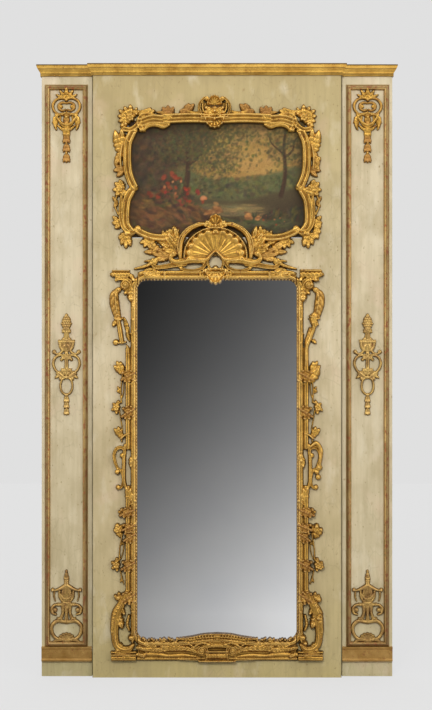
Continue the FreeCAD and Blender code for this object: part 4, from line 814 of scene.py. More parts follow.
def carve_garland(r):
    """The foliage up one side of the mirror: a capital, an ear, sprays, scrolls and a looped foot."""
    ledge(r, (-419, 1601), (-347, 1629), 32, flutes=6, lean=0.8)
    ledge(r, (-408, 1586), (-352, 1602), 28, flutes=5, lean=0.5)
    volute(r, (-419, 1612), 9, 30)
    strip(r, [(-404, 1588), (-384, 1594), (-360, 1592), (-343, 1578), (-338, 1552)], [10, 13, 14, 13, 10],
          30, scroll_cut)
    volute(r, (-366, 1569), 23, 33, turn=2.2)
    volute(r, (-393, 1550), 12, 26, turn=0.5, hand=-1)
    leaf(r, (-350, 1616), (-326, 1580), 24, 33, 2)
    leaf(r, (-343, 1560), (-343, 1500), 42, 33, 4)
    leaf(r, (-352, 1556), (-372, 1530), 20, 25, 2)
    strip(r, [(-396, 1550), (-410, 1528), (-409, 1496), (-402, 1462), (-395, 1436)], [22, 38, 42, 35, 28],
          [22, 25, 25, 23, 24], leafy_cut, matt=0.3)
    strip(r, [(-405, 1528), (-404, 1496), (-398, 1460)], [7, 9, 7], 28, round_cut)
    strip(r, [(-409, 1437), (-396, 1430), (-382, 1433)], [9, 12, 8], 28, twist_cut)
    leaf(r, (-398, 1434), (-418, 1402), 24, 23, 3)
    leaf(r, (-390, 1430), (-373, 1440), 14, 18, 2)
    strip(r, [(-394, 1428), (-388, 1392), (-381, 1346)], [19, 22, 21], 25, round_cut)
    ball(r, (-404, 1341), 13, 24)
    strip(r, [(-398, 1340), (-380, 1338), (-364, 1342)], [8, 11, 9], 26, twist_cut)
    leaf(r, (-352, 1372), (-373, 1444), 22, 9, 5)
    leaf(r, (-350, 1345), (-362, 1392), 20, 13, 4)
    strip(r, [(-362, 1330), (-356, 1318), (-355, 1300)], [6, 14, 18], 24, round_cut)
    sprig(r, (-374, 1212), [(-414, 1250), (-402, 1268), (-386, 1266)], 27, 24, 3)
    wrap(r, 1228, 1182, -382, -328)
    strip(r, [(-378, 1208), (-384, 1150), (-382, 1100)], [7, 6, 8], [22, 14, 16])
    strip(r, [(-372, 1190), (-374, 1140), (-388, 1098)], 5, 15)
    sprig(r, (-384, 1140), [(-398, 1166), (-402, 1148)], 15, 16, 2)
    flower(r, (-402, 1080), 17, 25)
    sprig(r, (-398, 1078), [(-394, 1112), (-418, 1100), (-424, 1070), (-402, 1052)], 20, 22, 3)
    wrap(r, 1086, 1034, -380, -328)
    strip(r, [(-390, 1070), (-384, 1030), (-378, 990), (-380, 945)], [6, 6, 5, 8], [18, 13, 12, 16])
    sprig(r, (-378, 958), [(-412, 998), (-396, 1006)], 26, 20, 3)
    strip(r, [(-384, 956), (-368, 970), (-348, 978)], [9, 12, 8], 28, twist_cut)
    strip(r, [(-366, 896), (-368, 910), (-384, 921), (-402, 914), (-411, 890), (-406, 860), (-397, 838)],
          [9, 13, 15, 15, 14, 13, 12], 24, scroll_cut)
    volute(r, (-378, 889), 11, 26, turn=1.0)
    volute(r, (-398, 823), 11, 25, turn=2.0, hand=-1)
    strip(r, [(-394, 838), (-383, 828), (-376, 806), (-375, 784), (-381, 764), (-394, 756)],
          [8, 11, 12, 12, 11, 10], 22, scroll_cut)
    volute(r, (-395, 763), 10, 24)
    strip(r, [(-366, 930), (-371, 890), (-372, 840), (-371, 786), (-360, 752)], [16, 18, 18, 18, 15], 23,
          round_cut)
    leaf(r, (-344, 884), (-343, 836), 24, 28, 3)
    sprig(r, (-352, 694), [(-362, 770), (-344, 764), (-334, 742)], 26, 28, 4)
    wrap(r, 680, 642, -388, -328)
    leaf(r, (-372, 652), (-396, 668), 20, 25, 2)
    leaf(r, (-388, 566), (-400, 620), 40, 24, 4)
    flower(r, (-400, 592), 15, 25, petals=4)
    leaf(r, (-388, 588), (-374, 618), 18, 22, 2)
    wrap(r, 618, 584, -378, -326, rise=31)
    wrap(r, 586, 540, -372, -326, rise=33)
    strip(r, [(-378, 576), (-388, 520), (-390, 470)], [7, 6, 8], [22, 13, 16])
    strip(r, [(-370, 556), (-374, 510), (-384, 476)], 5, 13)
    leaf(r, (-382, 530), (-372, 552), 12, 14, 2)
    flower(r, (-402, 452), 18, 27)
    sprig(r, (-400, 450), [(-400, 484), (-424, 466), (-422, 436), (-398, 424)], 22, 23, 3)
    wrap(r, 472, 426, -382, -328)
    strip(r, [(-386, 428), (-380, 400), (-372, 376)], [7, 6, 6], 14)
    leaf(r, (-378, 404), (-386, 380), 12, 13, 2)
    sprig(r, (-382, 306), [(-412, 334), (-394, 346)], 27, 24, 3)
    ball(r, (-394, 320), 12, 26)
    wrap(r, 346, 296, -380, -328, rise=31)
    strip(r, [(-358, 350), (-368, 326), (-383, 292), (-400, 258), (-408, 214), (-408, 168), (-400, 132),
              (-376, 116), (-350, 118), (-334, 134)], [18, 28, 36, 44, 38, 32, 32, 32, 28, 16],
          [24, 26, 26, 27, 25, 25, 27, 28, 29, 28], reeded_cut)
    strip(r, [(-396, 284), (-414, 240), (-418, 190)], [14, 18, 12], 28, leafy_cut)
    leaf(r, (-404, 268), (-376, 196), 42, 30, 5)
    leaf(r, (-388, 290), (-366, 250), 22, 27, 3)
    leaf(r, (-372, 330), (-340, 302), 26, 30, 3)
    leaf(r, (-410, 236), (-420, 172), 26, 29, 4)
    leaf(r, (-404, 140), (-372, 126), 24, 30, 3)
    strip(r, [(-352, 250), (-358, 216), (-350, 190)], [12, 16, 10], 24, leafy_cut)
    sprig(r, (-366, 318), [(-344, 344), (-334, 318)], 18, 30, 2)
    ball(r, (-343, 162), 14, 32)
    strip(r, [(-330, 186), (-332, 162), (-338, 146)], [10, 16, 12], 29)
    volute(r, (-396, 112), 12, 30)
    ledge(r, (-423, 70), (-322, 98), 30)
    strip(r, [(-420, 104), (-378, 101), (-324, 105)], 11, 26, leafy_cut)
    leaf(r, (-392, 84), (-342, 90), 18, 32, 4)


def touch_garland(r):
    """What the right garland has more than the left, drawn on the left side's places."""
    r.clear((-425, 1300), (-349, 1430))
    strip(r, [(-392, 1440), (-386, 1400), (-373, 1362), (-357, 1320), (-354, 1250)],
          [20, 19, 18, 18, 16], 27)
    strip(r, [(-372, 1396), (-360, 1352), (-352, 1330)], [14, 20, 10], 22, leafy_cut, matt=0.3)
    strip(r, [(-402, 1448), (-388, 1440), (-370, 1446)], [9, 13, 8], 29, twist_cut)
    leaf(r, (-378, 1352), (-398, 1336), 20, 22, 2)
    ledge(r, (-416, 1600), (-330, 1632), 33, flutes=5, lean=-0.9)
    ball(r, (-393, 1590), 10, 33)
    ball(r, (-378, 1572), 9, 34)
    leaf(r, (-390, 1462), (-382, 1404), 38, 29, 3)
    flower(r, (-392, 1415), 16, 29, petals=6)
    leaf(r, (-370, 1180), (-408, 1244), 46, 29, 4)
    strip(r, [(-388, 1100), (-404, 1092), (-418, 1068)], [10, 14, 9], 24, leafy_cut)
    strip(r, [(-372, 924), (-396, 938), (-414, 908), (-410, 852)], [14, 20, 20, 13], 28, reeded_cut)
    volute(r, (-407, 842), 14, 29)
    volute(r, (-404, 803), 12, 28)
    leaf(r, (-332, 914), (-338, 856), 30, 31, 3)
    sprig(r, (-392, 560), [(-420, 602), (-398, 618)], 34, 28, 3)
    flower(r, (-412, 447), 18, 29, petals=6)
    ball(r, (-406, 314), 13, 28)
    strip(r, [(-392, 300), (-408, 262), (-414, 224)], [20, 30, 22], 31, leafy_cut)
    ball(r, (-404, 240), 12, 33)
    ball(r, (-352, 140), 12, 33)


def carve_apron(r):
    """The foot rail's ornament: a fluted cushion between volutes, with leaf scrolls out to the corners."""
    strip(r, [(-150, 156), (-104, 160), (-54, 168), (0, 171)], [8, 13, 17, 18], 29, scroll_cut)
    strip(r, [(-150, 142), (-96, 148), (0, 154)], [16, 24, 28], 20, reeded_cut)
    sprig(r, (-70, 146), [(-118, 156), (-100, 142)], 20, 26, 3)
    for i in range(12):
        x = -126 + 11.5 * i
        top = 162 + 12 * math.cos(math.pi * x / 280)
        leaf(r, (x + 5, top - 17), (x - 2, top), 13, 31, 2)
    shell(r, (0, 128), 42, 34, 9, 31)
    volute(r, (-62, 110), 23, 34, turn=1.0)
    strip(r, [(-30, 134), (-58, 142), (-86, 130), (-96, 108)], [12, 16, 13, 9], 29, leafy_cut)
    strip(r, [(-78, 104), (-120, 118), (-176, 120), (-236, 112), (-321, 122)], [16, 28, 26, 26, 18],
          [27, 26, 24, 24, 23], leafy_cut)
    strip(r, [(-84, 88), (-136, 92), (-196, 90), (-250, 96), (-321, 93)], [14, 20, 18, 22, 16], 22,
          reeded_cut)
    sprig(r, (-140, 114), [(-206, 146), (-172, 150), (-232, 130)], 30, 27, 4)
    sprig(r, (-236, 112), [(-300, 142), (-266, 150), (-308, 116)], 28, 26, 4)
    strip(r, [(-96, 128), (-120, 142), (-150, 146)], [10, 16, 10], 27, leafy_cut)
    flower(r, (-212, 152), 11, 27)
    leaf(r, (-321, 102), (-284, 84), 26, 29, 3)
    for i, x in enumerate((-290, -272, -252, -180, -160)):
        ball(r, (x, 152 + i % 2), 5.5, 25)
    ledge(r, (-46, 78), (46, 112), 31, flutes=8)
    strip(r, [(-44, 80), (-36, 104), (-40, 124)], [8, 9, 6], 29)
    plate(r, (-76, 64), (76, 74), 30)
    strip(r, [(-150, 76), (-80, 74), (0, 74)], 8, 24)


def across_from(axis):
    """Lets places be given across from an axis."""
    return lambda places: [(axis + u, z) for u, z in places]


def carve_crest(r):
    """The crest: a scallop shell under an arched band, over a pale ground held between ribbed scrolls, with
    foliage that falls away to both sides."""
    axis = CREST_X
    at = across_from(axis)
    # a low dark fill under the arch: painted shadow where the pierced work would show shade
    where = r.near([(axis - 130, 1690), (axis, 1806)], 0)
    u, z = r.x[where] - axis, r.z[where]
    r.lay(where, np.minimum(1 - (u / 136) ** 2 - ((z - 1690) / 116) ** 2, 1) * 40 * (z > 1690),
          SHADOW_FILL + 0 * u, -1.0)
    shell(r, (axis, 1684), 131, 119, 11, 41, low=0.12, rim=0.84, cut=0.26)
    strip(r, at([(-125 * math.cos(t), 1684 + 113 * math.sin(t)) for t in np.linspace(-0.1, math.pi / 2, 9)]),
          9, 40)
    strip(r, at([(-140, 1682), (-142, 1712), (-138, 1744), (-123, 1774), (-94, 1798), (-60, 1811),
                 (-30, 1812)]), [20, 25, 27, 26, 25, 22, 16], 40, reeded_cut)
    strip(r, at([(-147, 1690), (-150, 1726), (-140, 1762), (-110, 1796), (-66, 1817)]), [6, 8, 8, 8, 6], 41)
    shell(r, (axis, 1806), 34, 50, 5, 42)
    sprig(r, (axis, 1800), at([(-44, 1826), (-52, 1806)]), 22, 41, 3)
    volute(r, (axis - 20, 1806), 12, 41)
    leaf(r, (axis, 1802), (axis - 10, 1768), 20, 42, 2)
    ball(r, (axis, 1806), 10, 42)
    curl(r, at([(-6, 1700), (-20, 1686), (-34, 1672), (-62, 1667), (-98, 1669), (-132, 1662), (-160, 1660),
                (-178, 1672), (-178, 1690)]), [12, 15, 20, 28, 36, 34, 28, 22, 16],
         [41, 40, 38, 37, 37, 36, 34, 33, 33], (axis - 168, 1694), hand=-1, cut=reeded_cut, eye=14)
    strip(r, at([(0, 1704), (-14, 1694), (-27, 1676), (-30, 1656), (-25, 1638), (-22, 1630)]),
          [9, 10, 11, 11, 11, 10], 37, scroll_cut)
    strip(r, at([(-34, 1664), (-44, 1646), (-62, 1632), (-92, 1626), (-124, 1630), (-150, 1646)]),
          [12, 15, 16, 15, 15, 10], [32, 31, 29, 28, 28, 30], scroll_cut)
    volute(r, (axis - 48, 1660), 12, 36)
    strip(r, at([(-120, 1650), (-160, 1650), (-200, 1643), (-236, 1640), (-254, 1652)]),
          [14, 24, 22, 18, 12], [30, 31, 29, 28, 28], scroll_cut)
    volute(r, (axis - 244, 1662), 15, 31)
    leaf(r, (axis - 138, 1626), (axis - 136, 1658), 18, 33, 2)
    strip(r, at([(-250, 1672), (-264, 1652), (-292, 1641), (-322, 1634)]), [12, 17, 15, 9], [28, 27, 24, 20],
          leafy_cut)
    leaf(r, (axis - 216, 1640), (axis - 290, 1626), 24, 24, 4)
    sprig(r, (axis - 142, 1712), at([(-164, 1806), (-194, 1782), (-152, 1768)]), 38, 35, 4)
    volute(r, (axis - 154, 1726), 17, 37, turn=0.8)
    sprig(r, (axis - 150, 1700), at([(-204, 1766), (-222, 1736), (-206, 1706)]), 36, 30, 4)
    strip(r, at([(-146, 1716), (-156, 1694), (-176, 1684), (-200, 1690), (-222, 1706)]),
          [20, 18, 18, 18, 12], [34, 31, 28, 26, 23], twist_cut, matt=0.5)
    sprig(r, (axis - 172, 1690), at([(-244, 1716), (-250, 1690), (-236, 1664)]), 32, 27, 4, matt=0.5)
    sprig(r, (axis - 216, 1700), at([(-276, 1732), (-288, 1702), (-262, 1744)]), 30, 24, 4, matt=0.3)
    strip(r, at([(-206, 1668), (-226, 1676), (-250, 1668), (-282, 1664)]), [12, 16, 16, 8], [26, 25, 24, 20],
          leafy_cut)
    for berry in at([(-206, 1712), (-186, 1724), (-172, 1746)]):
        ball(r, berry, 8, 33)
    shell(r, (axis, 1634), 47, -66, 7, 36)
    ball(r, (axis, 1636), 13, 37)
    strip(r, at([(-52, 1620), (-40, 1630), (0, 1634)]), [10, 13, 14], 33, leafy_cut)
    for u in (-228, -56):
        sprig(r, (axis + u, 1612), at([(u - 14, 1628), (u - 12, 1598), (u + 13, 1626), (u + 12, 1600)]),
              18, 29, 2)
    leaf(r, (axis - 236, 1610), (axis - 296, 1618), 26, 28, 4)


def ribbed(r, points, width, base, rise, ribs=2):
    """A rail of parallel ribs with dark grooves between them."""
    strip(r, points, width, base, flat_cut)
    line, _ = smooth_line(points, 12)
    way = np.gradient(line, axis=0)
    way /= np.hypot(*way.T)[:, None]
    normal = np.stack([-way[:, 1], way[:, 0]], 1)
    pitch = width / ribs
    for k in range(ribs):
        shift = (k - (ribs - 1) / 2) * pitch
        strip(r, (line + normal * shift).tolist(), pitch * 0.88, rise * (1 - 0.12 * (k % 2)), edge=0.6)


def carve_picture_top(r):
    """The picture frame's top length: ribbed rails that end in scrolls, sprays and corner clusters."""
    ribbed(r, [(-306, 2216), (-262, 2230), (-214, 2228), (-190, 2232)], 42, 19, 27, ribs=3)
    strip(r, [(-292, 2188), (-270, 2206), (-240, 2208), (-214, 2200), (-192, 2208)], [14, 22, 22, 20, 14],
          28, reeded_cut)
    ribbed(r, [(-212, 2232), (-150, 2235), (-92, 2236), (-20, 2233)], 42, 19, 27, ribs=3)
    leaf(r, (-228, 2208), (-172, 2256), 34, 28, 4)
    strip(r, [(-252, 2246), (-286, 2246), (-309, 2230), (-308, 2204), (-300, 2190)], [16, 22, 24, 20, 16],
          28, scroll_cut)
    volute(r, (-298, 2187), 16, 28, turn=1.0)
    volute(r, (-300, 2252), 17, 28, hand=-1)
    sprig(r, (-290, 2246), [(-246, 2268), (-262, 2278), (-282, 2274)], 30, 25, 4)
    sprig(r, (-196, 2240), [(-218, 2282), (-196, 2288), (-172, 2282)], 30, 23, 4, matt=0.9)
    sprig(r, (-134, 2246), [(-90, 2294), (-110, 2296), (-142, 2274)], 34, 23, 4, matt=0.7)
    strip(r, [(-60, 2262), (-84, 2256), (-116, 2262)], [14, 16, 10], 23, leafy_cut)
    leaf(r, (-160, 2250), (-248, 2260), 22, 21, 5, matt=0.4)
    sprig(r, (-344, 2232),
          [(-394, 2270), (-399, 2246), (-396, 2222), (-388, 2200), (-372, 2284), (-346, 2292)], 30, 27, 3)
    sprig(r, (-338, 2238), [(-318, 2280), (-308, 2268)], 22, 25, 3)
    flower(r, (-346, 2238), 20, 28, petals=6)
    ribbed(r, [(-372, 2192), (-350, 2188), (-330, 2196), (-312, 2214)], 26, 16, 24)
    volute(r, (-330, 2182), 15, 28)
    ball(r, (-364, 2212), 9, 28)
    ball(r, (-322, 2252), 8, 27)


def carve_picture_side(r):
    """A side of the picture frame: two ribbed scrolls that meet at a notch, with leaves outside them."""
    ribbed(r, [(-342, 1944), (-360, 1906), (-366, 1852), (-362, 1808), (-344, 1782)][::-1], 37, 18, 27)
    ribbed(r, [(-331, 1960), (-344, 1988), (-355, 2026), (-358, 2078), (-355, 2136), (-338, 2178)],
           37, 18, 27)
    strip(r, [(-352, 2150), (-340, 2176), (-324, 2184)], [26, 22, 16], 27, scroll_cut)
    volute(r, (-333, 1955), 14, 28)
    volute(r, (-372, 1936), 15, 28, hand=-1)
    strip(r, [(-380, 1932), (-386, 1884), (-384, 1836), (-372, 1796), (-344, 1778), (-322, 1782)],
          [10, 13, 15, 17, 18, 13], 28, scroll_cut)
    volute(r, (-322, 1790), 13, 28)
    leaf(r, (-382, 2084), (-408, 2190), 44, 25, 6)
    leaf(r, (-372, 2110), (-382, 2198), 34, 24, 5)
    leaf(r, (-378, 2110), (-408, 2044), 36, 24, 5, matt=0.3)
    strip(r, [(-378, 2130), (-386, 2080), (-382, 2030)], [10, 12, 8], 26, round_cut)
    sprig(r, (-366, 2034), [(-416, 2026), (-408, 2044), (-402, 2000)], 28, 23, 3, matt=0.5)
    sprig(r, (-372, 1950), [(-410, 1980), (-418, 1950), (-390, 1992), (-408, 1926)], 32, 26, 4)
    flower(r, (-388, 1954), 17, 28, petals=5)
    strip(r, [(-398, 1930), (-408, 1890), (-394, 1850)], [9, 8, 9], 18)
    sprig(r, (-396, 1896), [(-418, 1924), (-414, 1880)], 20, 18, 3, matt=0.4)
    sprig(r, (-382, 1812), [(-418, 1846), (-421, 1820), (-410, 1796)], 28, 24, 4)
    sprig(r, (-362, 1780), [(-364, 1713), (-344, 1722), (-384, 1728), (-394, 1752)], 32, 26, 4)
    ball(r, (-362, 1774), 12, 28)


def touch_picture_side(r):
    """What the right side of the picture frame has more than the left."""
    flower(r, (-372, 1950), 24, 28, petals=6)
    sprig(r, (-386, 1790), [(-418, 1812), (-416, 1780), (-404, 1752)], 30, 27, 4)
    sprig(r, (-384, 2050), [(-414, 2080), (-410, 2030)], 30, 26, 3)


def carve_picture_foot(r):
    """The picture frame's foot: rails that sweep up to its corners, with leaves under them."""
    ribbed(r, [(-324, 1790), (-298, 1776), (-262, 1763), (-214, 1758), (-160, 1762)], 31, 18, 26)
    volute(r, (-316, 1794), 14, 28, hand=-1)
    sprig(r, (-266, 1754), [(-310, 1736), (-294, 1718), (-270, 1711), (-246, 1718)], 28, 24, 4)
    leaf(r, (-244, 1750), (-190, 1728), 28, 23, 4)
    sprig(r, (-208, 1754), [(-218, 1790), (-198, 1790)], 22, 26, 3)
    sprig(r, (-176, 1750), [(-172, 1808), (-152, 1794), (-192, 1796)], 30, 28, 4)


def carve_cartouche(r):
    """The cartouche over the picture: a small scallop in a ring of two scrolls, on a leaf."""
    axis = CARTOUCHE_X
    at = across_from(axis)
    plate(r, (axis - 46, 2246), (axis + 46, 2300), 12)
    curl(r, at([(-26, 2236), (-50, 2246), (-61, 2270), (-57, 2296), (-40, 2316)]), [10, 13, 13, 12, 10],
         [33, 34, 34, 33, 32], (axis - 31, 2312), eye=11)
    strip(r, at([(-46, 2300), (-48, 2276), (-40, 2256)]), [8, 12, 9], 26, leafy_cut)
    # a low dark fill inside the ring: painted shadow behind the pierced shell
    where = r.near([(axis - 34, 2276), (axis + 34, 2306)], 0)
    u, z = r.x[where] - axis, r.z[where]
    r.lay(where, (1 - (u / 34) ** 2 - ((z - 2292) / 16) ** 2) * 12, SHADOW_FILL + 12 + 0 * u, -0.9)
    shell(r, (axis, 2288), 33, 42, 7, 36)
    leaf(r, (axis, 2240), (axis, 2284), 48, 34, 3)
    sprig(r, (axis, 2262), at([(-42, 2280), (-44, 2258), (-30, 2240)]), 26, 32, 3)
    ball(r, (axis, 2262), 10, 37)
    strip(r, at([(-60, 2236), (-30, 2238), (0, 2234)]), [8, 12, 14], 32, round_cut)
    shell(r, (axis, 2240), 44, -50, 7, 36)
    ball(r, (axis, 2232), 9, 38)


def husks(r, axis, places, length, width, rise, matt=0.0):
    """A string of bellflowers, each with three petals that open downward."""
    for z in places:
        for lean in (-0.36, 0.36):
            leaf(r, (axis, z), (axis + lean * width, z - length * 0.94), width * 0.52, rise * 0.84, 2,
                 curl=0.5, matt=matt)
        leaf(r, (axis, z), (axis, z - length), width * 0.62, rise, 2, curl=0.5, matt=matt)
        ball(r, (axis, z - 1), width * 0.16, rise)


def carve_upper_drop(r, axis):
    """A pilaster's upper ornament: a palmette on a ring of scrolls, a swag of drapery and three husks."""
    at = across_from(axis)
    for u, z, width in ((-45, 2337, 17), (-29, 2356, 19), (0, 2371, 23)):
        leaf(r, (axis, 2316), (axis + u, z), width, 18, 3)
    ball(r, (axis, 2316), 8, 18)
    strip(r, at([(0, 2316), (-16, 2322), (-40, 2316), (-54, 2296), (-51, 2274), (-36, 2259), (-16, 2254)]),
          [9, 11, 12, 13, 12, 11, 9], 15, reeded_cut, matt=0.35)
    strip(r, at([(-2, 2302), (-16, 2304), (-30, 2296), (-30, 2280), (-16, 2272), (-4, 2276)]),
          [9, 12, 12, 11, 10, 8], 12, leafy_cut, matt=0.5)
    volute(r, (axis - 22, 2288), 8, 13)
    strip(r, at([(-4, 2262), (-32, 2254), (-48, 2236), (-46, 2212), (-40, 2196)]), [9, 13, 15, 13, 8], 15,
          reeded_cut)
    sprig(r, (axis - 38, 2234), at([(-58, 2222), (-54, 2246), (-46, 2196)]), 16, 13, 2)
    strip(r, at([(-24, 2246), (-26, 2226), (-14, 2212), (0, 2208)]), [9, 11, 13, 15], 13, scroll_cut)
    leaf(r, (axis, 2268), (axis, 2206), 30, 12, 3, matt=0.4)
    strip(r, at([(-44, 2256), (-34, 2238), (-20, 2222), (0, 2212)]), [8, 12, 13, 12], 16, reeded_cut)
    ball(r, (axis, 2246), 8, 15)
    strip(r, at([(-32, 2210), (-18, 2198), (0, 2194)]), [10, 14, 16], 15, leafy_cut)
    leaf(r, (axis, 2206), (axis - 12, 2168), 20, 14, 3)
    leaf(r, (axis, 2206), (axis, 2164), 20, 15, 3)
    husks(r, axis, (2178, 2142, 2102), 42, 36, 14, matt=0.7)


def carve_middle_drop(r, axis):
    """A pilaster's middle ornament: a cone in an urn, a lyre, an open ring and three husks."""
    at = across_from(axis)
    strip(r, at([(0, 1450), (0, 1436), (0, 1414), (0, 1390)]), [14, 34, 40, 22], 14, round_cut)
    for row in range(6):
        for k in range(-2, 3):
            x, z = k * 9 + (row % 2) * 4.5, 1397 + row * 9.5
            if abs(x) < 20 - abs(row - 2.0) * 2.6:
                ball(r, (axis + x, z), 5.2, 17)
    ledge(r, (axis - 18, 1378), (axis + 18, 1394), 15, flutes=4)
    strip(r, at([(0, 1386), (0, 1352)]), [20, 26], 12, reeded_cut)
    ledge(r, (axis - 34, 1338), (axis + 34, 1352), 15, flutes=7)
    strip(r, at([(0, 1340), (0, 1316)]), [50, 34], 12, leafy_cut)
    strip(r, at([(-28, 1342), (-24, 1322), (-17, 1306), (-32, 1294), (-48, 1298)]), [12, 13, 12, 11, 9], 14,
          reeded_cut)
    volute(r, (axis - 49, 1303), 9, 15)
    strip(r, at([(-10, 1290), (-30, 1288), (-46, 1278), (-53, 1256), (-45, 1232), (-24, 1212), (-2, 1198)]),
          [9, 11, 12, 12, 11, 11, 10], 14, reeded_cut)
    strip(r, at([(0, 1296), (0, 1214)]), [18, 16], 12, round_cut)
    for z, half in ((1278, 20), (1230, 22)):
        ledge(r, (axis - half, z - 7), (axis + half, z + 7), 14, flutes=5)
    volute(r, (axis - 20, 1272), 7, 13)
    sprig(r, (axis - 8, 1222), at([(-48, 1196), (-44, 1214), (-30, 1188)]), 20, 14, 3)
    strip(r, at([(2, 1204), (-18, 1190), (-24, 1166), (-18, 1142), (0, 1128)]), [9, 10, 10, 10, 9], 13,
          reeded_cut)
    ball(r, (axis, 1200), 7, 15)
    ball(r, (axis, 1130), 8, 15)
    husks(r, axis, (1128, 1104, 1078), 32, 27, 13)


def carve_lower_drop(r, axis):
    """A pilaster's lower ornament: a lidded urn on a stem between scrolls, on a ring with a shell in it."""
    at = across_from(axis)
    ball(r, (axis, 422), 6, 13)
    strip(r, at([(0, 420), (0, 406), (0, 392), (0, 368)]), [8, 18, 24, 18], 14, twist_cut)
    strip(r, at([(0, 366), (-16, 356), (-36, 347), (-58, 343)]), [18, 18, 13, 8], 16, reeded_cut)
    strip(r, at([(0, 370), (0, 352), (0, 334)]), [20, 38, 44], 14, leafy_cut)
    volute(r, (axis - 55, 347), 8, 14)
    strip(r, at([(-48, 342), (-50, 322), (-45, 302)]), [9, 9, 6], 11, twist_cut)
    strip(r, at([(-28, 340), (-27, 318), (-18, 302)]), [11, 12, 10], 13, reeded_cut)
    strip(r, at([(-26, 330), (-12, 312), (0, 306)]), [8, 12, 14], 14, leafy_cut)
    sprig(r, (axis, 344), at([(0, 312), (-12, 318)]), 16, 14, 2)
    ledge(r, (axis - 38, 281), (axis + 38, 295), 15, flutes=6)
    strip(r, at([(0, 304), (0, 292)]), [34, 44], 13, round_cut)
    strip(r, at([(-28, 286), (-46, 286), (-59, 272), (-56, 254), (-42, 248)]), [9, 12, 13, 12, 10], 14,
          reeded_cut)
    volute(r, (axis - 45, 266), 10, 15)
    strip(r, at([(0, 284), (0, 250), (0, 218)]), [18, 14, 20], 15, leafy_cut)
    strip(r, at([(-16, 284), (-15, 252), (-26, 224)]), [15, 13, 18], 13, leafy_cut)
    strip(r, at([(-6, 218), (-36, 222), (-56, 206), (-60, 184), (-50, 160), (-30, 146)]),
          [16, 17, 16, 15, 15, 13], 14, reeded_cut)
    sprig(r, (axis - 14, 222), at([(-40, 236), (-46, 222)]), 16, 15, 2)
    shell(r, (axis, 146), 36, 30, 7, 16)
    strip(r, at([(0, 142), (-26, 146), (-44, 142), (-56, 132)]), [16, 15, 13, 9], 14, leafy_cut)
    volute(r, (axis - 48, 134), 9, 15)
    for u in (0, -16, -30):
        ball(r, (axis + u, 132), 6, 14)
    strip(r, at([(-44, 130), (0, 128)]), 8, 12, reeded_cut)


def whole_grid(half, axis, low_z, high_z, step):
    """A bare relief whose middle column lies on its axis."""
    count = math.ceil(half / step)
    return Relief((axis - count * step, low_z), (axis + count * step, high_z), step)


def carve_pair(draw, low, high, name, node, finish, touches=None):
    """Carves a left piece and its reflection on the right, which may get touches of its own."""
    relief = Relief(low, high, CARVING_STEP)
    draw(relief)
    for side, flip, seed in (("left", False, 1), ("right", True, 2)):
        if flip and touches:
            touches(relief)
        made = to_mesh(relief, f"{name}_{side}", PANEL_Y, flip, seed)
        fix(made, finish, "gilt_wood", f"{node}_{side}")


def carve_centre(draw, half, axis, low_z, high_z, name, node, finish, step=CARVING_STEP):
    """Carves a piece whose left half is reflected across its own middle."""
    relief = whole_grid(half, axis, low_z, high_z, step)
    draw(relief)
    relief.mirror()
    fix(to_mesh(relief, name, PANEL_Y, seed=3), finish, "gilt_wood", node)


# ---- the canvas --------------------------------------------------------------------------------------
def cloud(shape, count, rng, octaves=4):
    """Soft random blots from 0 to 1."""
    total = np.zeros(shape)
    for k in range(octaves):
        coarse = rng.random((count * 2 ** k + 2, int(count * 2 ** k * shape[1] / shape[0]) + 2))
        i, j = [np.linspace(0, coarse.shape[a] - 1.001, shape[a]) for a in (0, 1)]
        i0, j0 = i.astype(int), j.astype(int)
        fi, fj = (i - i0)[:, None], (j - j0)[None]
        fi, fj = fi * fi * (3 - 2 * fi), fj * fj * (3 - 2 * fj)
        a, b = coarse[i0][:, j0], coarse[i0 + 1][:, j0]
        c, d = coarse[i0][:, j0 + 1], coarse[i0 + 1][:, j0 + 1]
        total += ((a * (1 - fi) + b * fi) * (1 - fj) + (c * (1 - fi) + d * fi) * fj) * 0.5 ** k
    return (total - total.min()) / (total.max() - total.min())


class Easel:
    """A picture as brush strokes on a grid of canvas points. Places run from 0 to 1 across and up."""

    def __init__(self, across, up, seed):
        self.rng = np.random.default_rng(seed)
        self.shape = (across, up)
        self.u, self.v = np.meshgrid(np.linspace(0, 1, across), np.linspace(0, 1, up), indexing="ij")
        self.colour = np.zeros((across, up, 3))

    def wash(self, share, text):
        """A thin coat of one colour, by a share at each point."""
        share = np.clip(share, 0, 1)[..., None]
        self.colour = self.colour * (1 - share) + tint(text) * share

    def dab(self, u, v, length, width, angle, colour, strength):
        """One stroke of the brush."""
        wide, high = self.shape
        reach = max(length, width) * 1.2
        i0, i1 = [int(np.clip((u + s * reach) * wide, 0, wide)) for s in (-1, 1)]
        j0, j1 = [int(np.clip((v + s * reach * wide / high) * high, 0, high)) for s in (-1, 1)]
        if i0 >= i1 or j0 >= j1:
            return
        x = self.u[i0:i1, j0:j1] - u
        y = (self.v[i0:i1, j0:j1] - v) * high / wide
        a = x * math.cos(angle) + y * math.sin(angle)
        b = y * math.cos(angle) - x * math.sin(angle)
        cover = np.clip(1.3 - (a / length) ** 2 - (b / width) ** 2, 0, 1)[..., None] * strength
        self.colour[i0:i1, j0:j1] = self.colour[i0:i1, j0:j1] * (1 - cover) + colour * cover

    def scatter(self, count, where, colours, length, width, angle=0.0, turn=0.6, strength=0.6, spread=0.05):
        """Many strokes at random places that where() allows, in mixed colours."""
        made = 0
        for _ in range(count * 12):
            u, v = self.rng.random(2)
            if self.rng.random() > where(u, v):
                continue
            colour = tint(colours[self.rng.integers(len(colours))]) + self.rng.normal(0, spread, 3) * 0.5
            size = self.rng.uniform(0.6, 1.4)
            self.dab(u, v, length * size, width * size, angle + self.rng.normal(0, turn), colour, strength)
            made += 1
            if made == count:
                return


def hill(u, places):
    """The height of a smooth skyline through (across, up) places."""
    return np.interp(u, *zip(*places))


